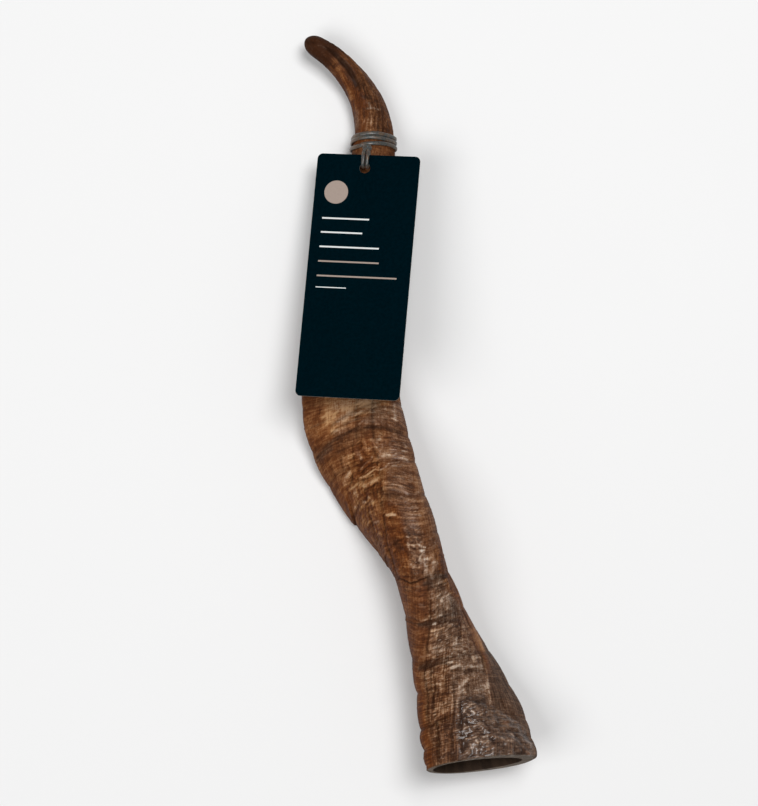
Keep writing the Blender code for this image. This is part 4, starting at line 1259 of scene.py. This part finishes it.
def put_attribute(mesh, name, columns):
    """Stores three values a point under a name that the finish reads."""
    made = mesh.attributes.new(name, "FLOAT_VECTOR", "POINT")
    made.data.foreach_set("vector", np.stack(columns, axis=-1).astype(np.float32).ravel())


def lay_grid(context, name, points):
    """A grid mesh laid on rows of points, and the row and column that each of its points has."""
    count = len(points)
    bpy.ops.mesh.primitive_grid_add(x_subdivisions=COLUMNS, y_subdivisions=count - 1, size=1.0)
    made = name_piece(context, name)
    flat = read_points(made.data)
    if len(flat) != count * (COLUMNS + 1):
        raise RuntimeError("the grid has %d points, not %d" % (len(flat), count * (COLUMNS + 1)))
    column = np.rint((flat[:, 0] + 0.5) * COLUMNS).astype(int)
    line = np.rint((flat[:, 1] + 0.5) * (count - 1)).astype(int)
    placed = in_scene(points)
    placed[..., 2] = np.maximum(placed[..., 2], CLEAR_OF_FLOOR)
    write_points(made.data, placed[line, column])
    return made, (line, column)


class Finish:
    """A material, with short calls that add its nodes."""

    def __init__(self, name):
        self.material = bpy.data.materials.new(name)
        self.material.use_nodes = True
        self.nodes = self.material.node_tree.nodes
        self.links = self.material.node_tree.links
        self.shader = self.nodes["Principled BSDF"]

    def add(self, kind, inputs, output=0, **settings):
        """A node with its settings and inputs."""
        node = self.nodes.new(kind)
        for key, value in settings.items():
            setattr(node, key, value)
        for key, value in inputs.items():
            self.feed(node.inputs[key], value)
        return node.outputs[output]

    def feed(self, socket, value):
        """Links an input to another node's output, or sets its value."""
        if isinstance(value, bpy.types.NodeSocket):
            self.links.new(value, socket)
        else:
            socket.default_value = value

    def set(self, **inputs):
        """Feeds the shader's own sockets, named with _ for a space."""
        for key, value in inputs.items():
            self.feed(self.shader.inputs[key.replace("_", " ")], value)

    def read(self, attribute):
        """The attribute as a vector, and its three values."""
        vector = self.add("ShaderNodeAttribute", {}, "Vector", attribute_name=attribute)
        node = self.nodes.new("ShaderNodeSeparateXYZ")
        self.links.new(vector, node.inputs[0])
        return vector, node.outputs

    def noise(self, vector, stretch, detail, roughness, shift=0.0):
        """Noise whose features are 1 / stretch long each way, from 0 to 1."""
        inputs = {"Vector": vector, "Scale": stretch, "Location": (shift, shift, shift)}
        placed = self.add("ShaderNodeMapping", inputs)
        inputs = {"Vector": placed, "Scale": 1.0, "Detail": detail, "Roughness": roughness}
        return self.add("ShaderNodeTexNoise", inputs)

    def shaken(self, vector, stretch, reach):
        """The vector moved about by noise, by up to half its reach each way."""
        noise = self.add("ShaderNodeTexNoise", {"Vector": vector, "Scale": stretch, "Detail": 2.0}, 1)
        moved = self.add("ShaderNodeVectorMath", {0: noise, 1: (0.5, 0.5, 0.5)}, operation="SUBTRACT")
        moved = self.add("ShaderNodeVectorMath", {0: moved, "Scale": reach}, operation="SCALE")
        return self.add("ShaderNodeVectorMath", {0: vector, 1: moved}, operation="ADD")

    def cells(self, vector, size):
        """Irregular cells of this size: a random tone for each from 0 to 1, and how far in from its edge."""
        placed = self.add("ShaderNodeMapping", {"Vector": vector, "Scale": tuple(1 / side for side in size)})
        tone = self.add("ShaderNodeTexVoronoi", {"Vector": placed, "Scale": 1.0}, "Color")
        tone = self.add("ShaderNodeSeparateXYZ", {0: tone})
        edge = self.add("ShaderNodeTexVoronoi", {"Vector": placed, "Scale": 1.0}, feature="DISTANCE_TO_EDGE")
        return tone, edge

    def tint(self, colour, share=1.0):
        """A colour made lighter or darker, with its alpha."""
        return (*[min(c * share, 1.0) for c in colour], 1.0)

    def math(self, operation, *values, clamp=False):
        """An operation on two or three values."""
        return self.add("ShaderNodeMath", dict(enumerate(values)), operation=operation, use_clamp=clamp)

    def times(self, one, two):
        """A product."""
        return self.math("MULTIPLY", one, two)

    def minus(self, one, two):
        """A difference."""
        return self.math("SUBTRACT", one, two)

    def scaled(self, one, by, more):
        """A product, and something more."""
        return self.math("MULTIPLY_ADD", one, by, more)

    def plus(self, one, *others):
        """A sum, from left to right."""
        for other in others:
            one = self.math("ADD", one, other)
        return one

    def spread(self, value, low, high, to_low=0.0, to_high=1.0):
        """The value moved from one range to another, and held there."""
        inputs = {0: value, 1: low, 2: high, 3: to_low, 4: to_high}
        return self.add("ShaderNodeMapRange", inputs, clamp=True, interpolation_type="SMOOTHSTEP")

    def mix(self, share, one, two):
        """One colour over another."""
        return self.add("ShaderNodeMix", {0: share, 6: one, 7: two}, 2, data_type="RGBA", clamp_factor=True)

    def ramp(self, value, stops):
        """A run of colours, by stops of place and colour."""
        node = self.nodes.new("ShaderNodeValToRGB")
        self.links.new(value, node.inputs[0])
        steps = node.color_ramp.elements
        while len(steps) < len(stops):
            steps.new(0.5)
        for step, (place, colour) in zip(steps, stops):
            step.position = place
            step.color = (*colour, 1.0)
        return node.outputs[0]

    def bump(self, height, distance, strength):
        """Fine relief from a height of 0 to 1."""
        inputs = {"Height": height, "Distance": distance, "Strength": strength}
        self.set(Normal=self.add("ShaderNodeBump", inputs))


class HornFinish(Finish):
    """Keratin: fibres along the horn, lines across it, painted highlights on the crests, painted shade in
    the creases, smooth orange strips.
    """

    def __init__(self, colours):
        super().__init__("horn_keratin")
        self.growth, _ = self.read("growth")
        _, (self.tone, self.orange, self.grey) = self.read("tone")
        _, (self.dark, self.band, self.gloss) = self.read("mark")
        _, (self.crest, self.weave, self.bead) = self.read("place")
        _, (self.rim, self.hollow, self.flake) = self.read("cut")
        self.fibre = self.noise(self.growth, (1.9, 1.9, 0.09), 3.0, 0.6)
        self.lines = self.noise(self.growth, (0.16, 0.16, 1.5), 3.0, 0.6, 7.0)
        self.speck = self.noise(self.growth, (1.3, 1.3, 1.3), 3.0, 0.65, 5.0)
        uneven = self.shaken(self.growth, 0.5, 1.1)
        self.plate, self.plate_edge = self.cells(uneven, (2.1, 2.1, 1.25))
        self.crumb, self.crumb_edge = self.cells(uneven, (0.95, 0.95, 0.62))
        # Painted shade in the gaps between plates and in the pits between crumbs.
        gap = self.spread(self.plate_edge, 0.02, 0.14, 1.0, 0.0)
        self.gaps = self.times(gap, self.times(self.flake, 0.35))
        pit = self.spread(self.crumb_edge, 0.02, 0.16, 1.0, 0.0)
        self.pits = self.times(pit, self.times(self.weave, 0.24))
        rough = self.minus(self.spread(self.speck, 0.3, 0.7, 0.55, 0.72), self.times(self.gloss, 0.2))
        rough = self.math("ADD", rough, self.times(self.dark, 0.25), clamp=True)
        colour = self.cut_places(colours, self.skin_colour(colours, self.lightness()))
        self.set(Base_Color=colour, Roughness=rough)
        self.set(Coat_Weight=self.spread(self.gloss, 0.35, 1.0, 0.0, 0.6), Coat_Roughness=0.24)
        self.set(IOR=1.54, Specular_IOR_Level=0.08)
        self.bump(self.relief(), 0.00032, 0.8)

    def lightness(self):
        """How light the skin is, from 0 to 1: its stored tone and the fine grain over it."""
        along = self.times(self.spread(self.fibre, 0.25, 0.75, -0.2, 0.2), self.plus(self.weave, 0.25))
        across = self.times(self.spread(self.lines, 0.25, 0.75, -0.2, 0.2), self.plus(self.crest, 0.35))
        plates = self.times(self.minus(self.plate, 0.5), self.scaled(self.flake, 0.26, 0.04))
        crumbs = self.times(self.minus(self.crumb, 0.5), self.scaled(self.weave, 0.16, 0.05))
        mottle = self.noise(self.growth, (0.22, 0.22, 0.16), 4.0, 0.6, 3.0)
        mottle = self.spread(mottle, 0.3, 0.7, -0.07, 0.07)
        value = self.plus(self.times(self.tone, 0.30), 0.38, along, across, plates, crumbs, mottle)
        return self.math("ADD", value, self.spread(self.speck, 0.3, 0.7, -0.07, 0.07), clamp=True)

    def skin_colour(self, colours, value):
        """Brown skin, then warm places, weathered grey places with painted sheen, painted highlights as
        gleaming dashes and flecks, bands, and painted shade in cracks and creases.
        """
        brown, warm, worn_and_sheen = (
            self.ramp(value, [(place, getattr(colours, name)) for place, name in stops]) for stops in RAMPS
        )
        colour = self.mix(self.times(self.orange, 0.95), brown, warm)
        # weathered grey, running paler into painted sheen where it is light
        wear_and_sheen = self.times(self.grey, self.spread(self.speck, 0.32, 0.66, 0.45, 1.0))
        colour = self.mix(self.times(wear_and_sheen, 0.95), colour, worn_and_sheen)
        # Painted highlights: pale dashes along the crests of the fine rings where the skin is grey.
        dashes = self.noise(self.growth, (0.4, 0.4, 1.1), 2.0, 0.55, 11.0)
        shine = self.times(self.times(self.crest, self.grey), self.spread(dashes, 0.5, 0.62, 0.0, 0.22))
        colour = self.mix(shine, colour, self.tint(colours.light_grey, 1.2))
        # Painted glints: small pale flecks on the flaked grey places.
        flaked = self.times(self.times(self.flake, self.grey), 0.7)
        glinting_flecks = self.times(self.spread(self.crumb, 0.86, 0.93), flaked)
        colour = self.mix(glinting_flecks, colour, self.tint(colours.light_grey, 1.4))
        colour = self.mix(self.times(self.band, 0.72), colour, self.tint(colours.chestnut, 0.62))
        # Painted shade in grooves, cracks, creases, gaps and pits and along the sides, together with the
        # dark marks.
        worst = self.math("MAXIMUM", self.dark, self.math("MAXIMUM", self.gaps, self.pits))
        return self.mix(self.times(worst, 0.8), colour, self.tint(colours.chestnut, 0.35))

    def cut_places(self, colours, skin):
        """The colours of the sawn rim and the hollow, laid over the skin's."""
        saw_marks = self.spread(self.noise(self.growth, (0.5, 0.5, 0.5), 4.0, 0.7), 0.35, 0.65)
        sawn = self.mix(saw_marks, self.tint(colours.sawn, 0.35), self.tint(colours.sawn, 1.1))
        ribs = self.spread(self.noise(self.growth, (0.25, 0.25, 0.09), 4.0, 0.6), 0.3, 0.7)
        inner = self.mix(ribs, self.tint(colours.hollow, 0.5), self.tint(colours.hollow, 1.2))
        return self.mix(self.hollow, self.mix(self.rim, skin, sawn), inner)

    def relief(self):
        """Fine relief of the fibres, lines, plates, crumbs and beads."""
        grains = ((self.fibre, 0.5), (self.speck, 0.3), (self.lines, 0.35))
        fibres, specks, lines = (self.times(noise, share) for noise, share in grains)
        plates = self.times(self.minus(self.plate, self.gaps), self.scaled(self.flake, 0.5, 0.05))
        crumbs = self.times(self.spread(self.crumb_edge, 0.0, 0.4), self.scaled(self.weave, 0.4, 0.1))
        knobs = self.times(self.spread(self.plate_edge, 0.0, 0.45), self.times(self.bead, 2.0))
        return self.plus(fibres, specks, lines, plates, crumbs, knobs)


def plain_finish(name, colour, roughness, stretch, depth, shade, shine=0.5):
    """An even finish for card, ink and floor, with fine grain that is this deep and darker by this share."""
    made = Finish(name)
    place = made.add("ShaderNodeTexCoord", {}, "Object")
    fine = made.noise(place, (stretch, stretch, stretch), 3.0, 0.6)
    colours = made.tint(colour, 1 - shade), made.tint(colour)
    made.set(Base_Color=made.mix(made.spread(fine, 0.3, 0.7), *colours), Specular_IOR_Level=shine)
    made.set(Roughness=made.spread(fine, 0.3, 0.7, roughness - 0.06, roughness + 0.06))
    if depth:
        made.bump(fine, depth, 0.6)
    return made.material


def rubber_finish(settings):
    """Grey rubber with paler specks that are painted highlights, and stained brown in its thin places and at
    the left.
    """
    made = Finish("grey_rubber")
    place = made.add("ShaderNodeTexCoord", {}, "Object")
    cloud = made.noise(place, (420.0, 420.0, 420.0), 3.0, 0.6)
    fine = made.noise(place, (1500.0, 1500.0, 1500.0), 2.0, 0.6)
    across = made.add("ShaderNodeSeparateXYZ", {0: place})
    at_left = made.spread(across, *STAINED_AT_LEFT, 0.85, 0.0)
    thin = made.math("MAXIMUM", at_left, made.spread(cloud, 0.4, 0.68, 0.0, 0.8))
    colour = made.mix(thin, made.tint(settings.rubber), made.tint(settings.stained))
    # Painted highlights: paler specks over the rubber.
    colour = made.mix(made.spread(fine, 0.35, 0.75, 0.0, 0.5), colour, made.tint(settings.rubber, 1.9))
    made.set(Base_Color=colour, Roughness=made.spread(fine, 0.3, 0.7, 0.24, 0.42), IOR=1.52)
    made.set(Subsurface_Weight=0.15, Subsurface_Scale=0.001)
    made.bump(fine, 0.0001, 0.5)
    return made.material


class RAMHORN_OT_stage(bpy.types.Operator):
    """Build the floor, the light and the camera"""

    bl_idname = "ram_horn.stage"
    bl_label = "Stage"

    def execute(self, context):
        settings = context.scene.ram_horn_stage
        start_clean(context)
        bpy.ops.mesh.primitive_plane_add(size=settings.floor_size, location=(0.0, 0.0, 0.0))
        floor = name_piece(context, "floor")
        floor.data.materials.append(plain_finish("pale_floor", settings.floor, 0.7, 6.0, 0.0, 0.01))
        for name, place, side in LIGHTS:
            bpy.ops.object.light_add(type="AREA", location=place)
            lamp = context.object
            lamp.name = name
            lamp.data.shape = "SQUARE"
            lamp.data.size = side
            lamp.data.energy = getattr(settings, name)
            lamp.rotation_euler = Vector(place).to_track_quat("Z", "Y").to_euler()
        world = bpy.data.worlds.new("room")
        world.use_nodes = True
        background = world.node_tree.nodes["Background"].inputs
        background["Color"].default_value = (1.0, 1.0, 1.0, 1.0)
        background["Strength"].default_value = settings.room
        context.scene.world = world
        bpy.ops.object.camera_add(location=(*CAMERA_PLACE, settings.camera_height), rotation=(0.0, 0.0, 0.0))
        camera = context.object
        camera.name = "camera"
        camera.data.lens = settings.lens
        camera.data.sensor_width = 36.0
        camera.data.clip_start = 0.01
        context.scene.camera = camera
        context.scene.view_settings.view_transform = "Standard"
        return {"FINISHED"}


class RAMHORN_OT_horn(bpy.types.Operator):
    """Build the horn with its rings, flakes, creases, sawn rim and hollow"""

    bl_idname = "ram_horn.horn"
    bl_label = "Horn"

    def execute(self, context):
        settings = context.scene.ram_horn
        form = Form()
        rows = rows_along(form.start, form.length)
        turn, side = turns_round(form, rows)
        skin = Skin(form, settings, np.broadcast_to(rows[:, None], turn.shape), turn, side)
        points, lines = horn_points(form, skin)
        start_clean(context)
        horn, order = lay_grid(context, "ram_horn", points)
        for name, parts in horn_marks(skin, lines).items():
            put_attribute(horn.data, name, [part[order] for part in parts])
        horn.data.update()
        merge_and_turn_out(0.000002)
        bpy.ops.object.shade_smooth_by_angle(angle=math.radians(60.0))
        horn.data.materials.append(HornFinish(settings).material)
        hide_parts("horn")
        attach(horn, "root")
        return {"FINISHED"}


def tag_axes():
    """The tag's own right, down and facing directions, as it lies."""
    turn, slope, roll = (math.radians(degrees) for degrees in (TAG_TURN, TAG_SLOPE, TAG_ROLL))
    right = np.array((math.cos(roll), 0.0, math.sin(roll)))
    down = np.array((
        -math.sin(roll) * math.sin(slope),
        -math.cos(slope),
        math.cos(roll) * math.sin(slope),
    ))
    spin = np.array((
        (math.cos(turn), -math.sin(turn), 0.0),
        (math.sin(turn), math.cos(turn), 0.0),
        (0.0, 0.0, 1.0),
    ))
    return spin @ right, spin @ down, spin @ np.cross(right, -down)


def tag_point(across, down, proud):
    """A point of the tag: mm right of its middle line, mm below its top edge, mm in front of its back."""
    right_way, down_way, facing = tag_axes()
    return np.array(TAG_TOP_MIDDLE) + across * right_way + down * down_way + proud * facing


def cut_card(context, settings):
    """The bare card, with round corners, a punched hole and edges that are a little soft."""
    start_clean(context)
    bpy.ops.mesh.primitive_plane_add(size=1.0, location=(0.0, -settings.length / 2, 0.0))
    card = name_piece(context, "card_tag")
    resize(settings.width, settings.length, 1.0)
    with edit_all():
        bpy.ops.mesh.bevel(offset=settings.corner, segments=10, affect="VERTICES")
        bpy.ops.mesh.select_all(action="SELECT")
        bpy.ops.mesh.extrude_region_move(TRANSFORM_OT_translate={"value": (0.0, 0.0, settings.thickness)})
        bpy.ops.mesh.select_all(action="SELECT")
        bpy.ops.mesh.normals_make_consistent(inside=False)
    start_clean(context)
    place = (-TAG_HOLE_LEFT * MM, -TAG_HOLE_DOWN * MM, settings.thickness / 2)
    bpy.ops.mesh.primitive_cylinder_add(
        vertices=64, radius=settings.hole / 2, depth=settings.thickness * 4, location=place
    )
    punch = context.object
    hole = card.modifiers.new("hole", "BOOLEAN")
    hole.operation = "DIFFERENCE"
    hole.object = punch
    soften = card.modifiers.new("soft edge", "BEVEL")
    soften.width = settings.thickness * 0.16
    soften.segments = 2
    soften.limit_method = "ANGLE"
    finish_modifiers(context, card)
    bpy.data.objects.remove(punch, do_unlink=True)
    return card


def print_card(context, settings):
    """The plain disc and the plain rules, as thin pieces in the card's face."""
    inks = {
        "beige": plain_finish("beige_ink", settings.beige, 0.5, 3000.0, 0.0, 0.12),
        "white": plain_finish("white_ink", settings.white, 0.5, 3000.0, 0.0, 0.08),
    }
    start_clean(context)
    across, down = DISC_PLACE
    place = (across * MM, -down * MM, settings.thickness)
    bpy.ops.mesh.primitive_cylinder_add(vertices=72, radius=settings.disc, depth=INK_DEPTH, location=place)
    prints = [name_piece(context, "printed_disc")]
    prints[0].data.materials.append(inks["beige"])
    for down, long, half, ink in RULES:
        start_clean(context)
        place = ((RULES_LEFT + long / 2) * MM, -down * MM, settings.thickness)
        bpy.ops.mesh.primitive_cube_add(size=1.0, location=place)
        rule = name_piece(context, "printed_rule")
        resize(long * MM, 2 * half * MM, INK_DEPTH)
        rule.data.materials.append(inks[ink])
        prints.append(rule)
    return prints


class RAMHORN_OT_tag(bpy.types.Operator):
    """Build the card tag with its hole and its plain print"""

    bl_idname = "ram_horn.tag"
    bl_label = "Card tag"

    def execute(self, context):
        settings = context.scene.ram_horn_tag
        tag = cut_card(context, settings)
        tag.data.materials.append(plain_finish("dark_card", settings.card, 0.6, 900.0, 0.00002, 0.3, 0.0))
        tag.data.materials.append(plain_finish("cut_card_edge", settings.edge, 0.8, 2500.0, 0.00004, 0.5))
        for face in tag.data.polygons:
            face.material_index = 0 if abs(face.normal.z) > 0.6 else 1
        select_only(context, tag, *print_card(context, settings))
        bpy.ops.object.join()
        right_way, down_way, facing = tag_axes()
        place = Matrix(np.column_stack((right_way, -down_way, facing)).tolist()).to_4x4()
        place.translation = in_scene(np.array(TAG_TOP_MIDDLE))
        tag.matrix_world = place @ tag.matrix_world
        select_only(context, tag)
        bpy.ops.object.transform_apply(location=True, rotation=True, scale=True)
        bpy.ops.object.shade_smooth_by_angle(angle=math.radians(30.0))
        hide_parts("tag")
        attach(tag, "root")
        return {"FINISHED"}


def on_horn(form, settings, route):
    """Points of a strand along its route round the horn, and points 1 mm outward of them, in mm."""
    route = np.array(route)
    ends = route[0, 0], route[-1, 0]
    count = max(2, round(abs(ends[1] - ends[0]) * BAND_STEPS_PER_TURN))
    at = np.linspace(*ends, count + 1)
    order = np.argsort(route[:, 0])
    along, lift = through(route[order, 0], route[order, 1:], at).T
    side = TOP_ANGLE + 360.0 * at
    rings, rest = form.swell(along, side)
    clear = (BAND_FLATNESS * settings.radius + settings.gap) / MM
    proud = clear + np.maximum(lift, 0.0) + BAND_ON_RINGS * rings + rest
    return form.outline(along, side, proud), form.outline(along, side, proud + 1.0)


def leg_points(knot, side):
    """Points of one strand from the knot, over the tag's top edge, through its hole and back, in mm."""
    to_end = np.array((0.0, 0.0, LEG_ENDS_APART / 2))
    stops = [knot + to_end]
    for down, proud in LEG_ROUTE:
        stops.append(tag_point(-TAG_HOLE_LEFT + side * LEG_APART / 2, down, proud))
    stops.append(knot - to_end)
    knots = np.concatenate(([0.0], np.cumsum(np.linalg.norm(np.diff(stops, axis=0), axis=1))))
    return through(knots, stops, np.linspace(0.0, knots[-1], 60))


def add_strand(context, name, points, radius, rng):
    """A round strand along the points, a little uneven in its thickness."""
    start_clean(context)
    bpy.ops.curve.primitive_nurbs_path_add()
    route = context.object
    route.name = name
    data = route.data
    data.splines.clear()
    spline = data.splines.new("POLY")
    spline.points.add(len(points) - 1)
    uneven = 1 + 0.05 * np.convolve(rng.uniform(-1, 1, len(points) + 8), np.ones(9) / 3, "valid")
    for place, point, wide in zip(spline.points, points, uneven):
        place.co = (*in_scene(point), 1.0)
        place.radius = wide
    data.dimensions = "3D"
    data.bevel_depth = radius
    data.bevel_resolution = 4
    data.use_fill_caps = True
    bpy.ops.object.convert(target="MESH")
    return context.object


def flatten(strand, points, outer):
    """Presses a round strand flat against what it is wound round."""
    outward = outer - points
    places = read_points(strand.data) / MM + ORIGIN
    nearest = np.linalg.norm(places[:, None] - points[None], axis=-1).argmin(axis=1)
    away = outward[nearest] / np.linalg.norm(outward[nearest], axis=1)[:, None]
    stands_off = np.sum((places - points[nearest]) * away, axis=1)
    write_points(strand.data, in_scene(places - (1 - BAND_FLATNESS) * stands_off[:, None] * away))


class RAMHORN_OT_band(bpy.types.Operator):
    """Build the elastic band with its knot and the strands through the tag"""

    bl_idname = "ram_horn.band"
    bl_label = "Elastic band"

    def execute(self, context):
        settings = context.scene.ram_horn_band
        form = Form()
        rng = np.random.default_rng(BAND_SEED)
        lift = (settings.radius + settings.gap) / MM + KNOT_LIFT
        knot = form.outline([KNOT_ALONG], [KNOT_SIDE], lift)[0]
        pieces = []
        for name, route in (("rubber_band", BAND_ROUTE), ("return_strand", BAND_RETURN)):
            points, outer = on_horn(form, settings, route)
            strand = add_strand(context, name, points, settings.radius, rng)
            flatten(strand, points, outer)
            pieces.append(strand)
        for name, side in (("left_strand", -1), ("right_strand", 1)):
            pieces.append(add_strand(context, name, leg_points(knot, side), settings.leg_radius, rng))
        start_clean(context)
        place = tuple(in_scene(knot))
        bpy.ops.mesh.primitive_uv_sphere_add(segments=32, ring_count=20, radius=1.0, location=place)
        pieces.append(context.object)
        resize(*(size * MM for size in KNOT_SIZE))
        select_only(context, *pieces)
        bpy.ops.object.join()
        bpy.ops.object.transform_apply(location=True, rotation=True, scale=True)
        band = name_piece(context, "rubber_band")
        merge_and_turn_out(0.000001)
        bpy.ops.object.shade_smooth_by_angle(angle=math.radians(50.0))
        band.data.materials.clear()
        band.data.materials.append(rubber_finish(settings))
        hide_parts("elastic_band")
        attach(band, "root")
        return {"FINISHED"}


class RAMHORN_PT_panel(bpy.types.Panel):
    """The horn's pieces and their settings"""

    bl_idname = "RAMHORN_PT_panel"
    bl_label = "Ram Horn"
    bl_space_type = "VIEW_3D"
    bl_region_type = "UI"
    bl_category = "Ram Horn"

    def draw(self, context):
        """A box for each piece, with its button and its settings."""
        for operator, (group, kind) in zip(PIECES, GROUPS.items()):
            box = self.layout.box()
            box.operator(operator.bl_idname)
            for key in kind.__annotations__:
                box.prop(getattr(context.scene, group), key)


GROUPS = {
    "ram_horn_stage": RAMHORN_PG_stage,
    "ram_horn": RAMHORN_PG_horn,
    "ram_horn_tag": RAMHORN_PG_tag,
    "ram_horn_band": RAMHORN_PG_band,
}
PIECES = (RAMHORN_OT_stage, RAMHORN_OT_horn, RAMHORN_OT_tag, RAMHORN_OT_band)
CLASSES = (*GROUPS.values(), *PIECES, RAMHORN_PT_panel)


def register():
    """Makes the classes and their settings known to Blender."""
    for kind in CLASSES:
        bpy.utils.register_class(kind)
    for name, kind in GROUPS.items():
        setattr(bpy.types.Scene, name, bpy.props.PointerProperty(type=kind))


def unregister():
    """Takes the settings and the classes out again."""
    for name in GROUPS:
        delattr(bpy.types.Scene, name)
    for kind in reversed(CLASSES):
        bpy.utils.unregister_class(kind)


def main():
    """Builds all the pieces."""
    register()
    bpy.ops.ram_horn.stage()
    bpy.ops.ram_horn.horn()
    bpy.ops.ram_horn.tag()
    bpy.ops.ram_horn.band()


if __name__ == "__main__":
    main()
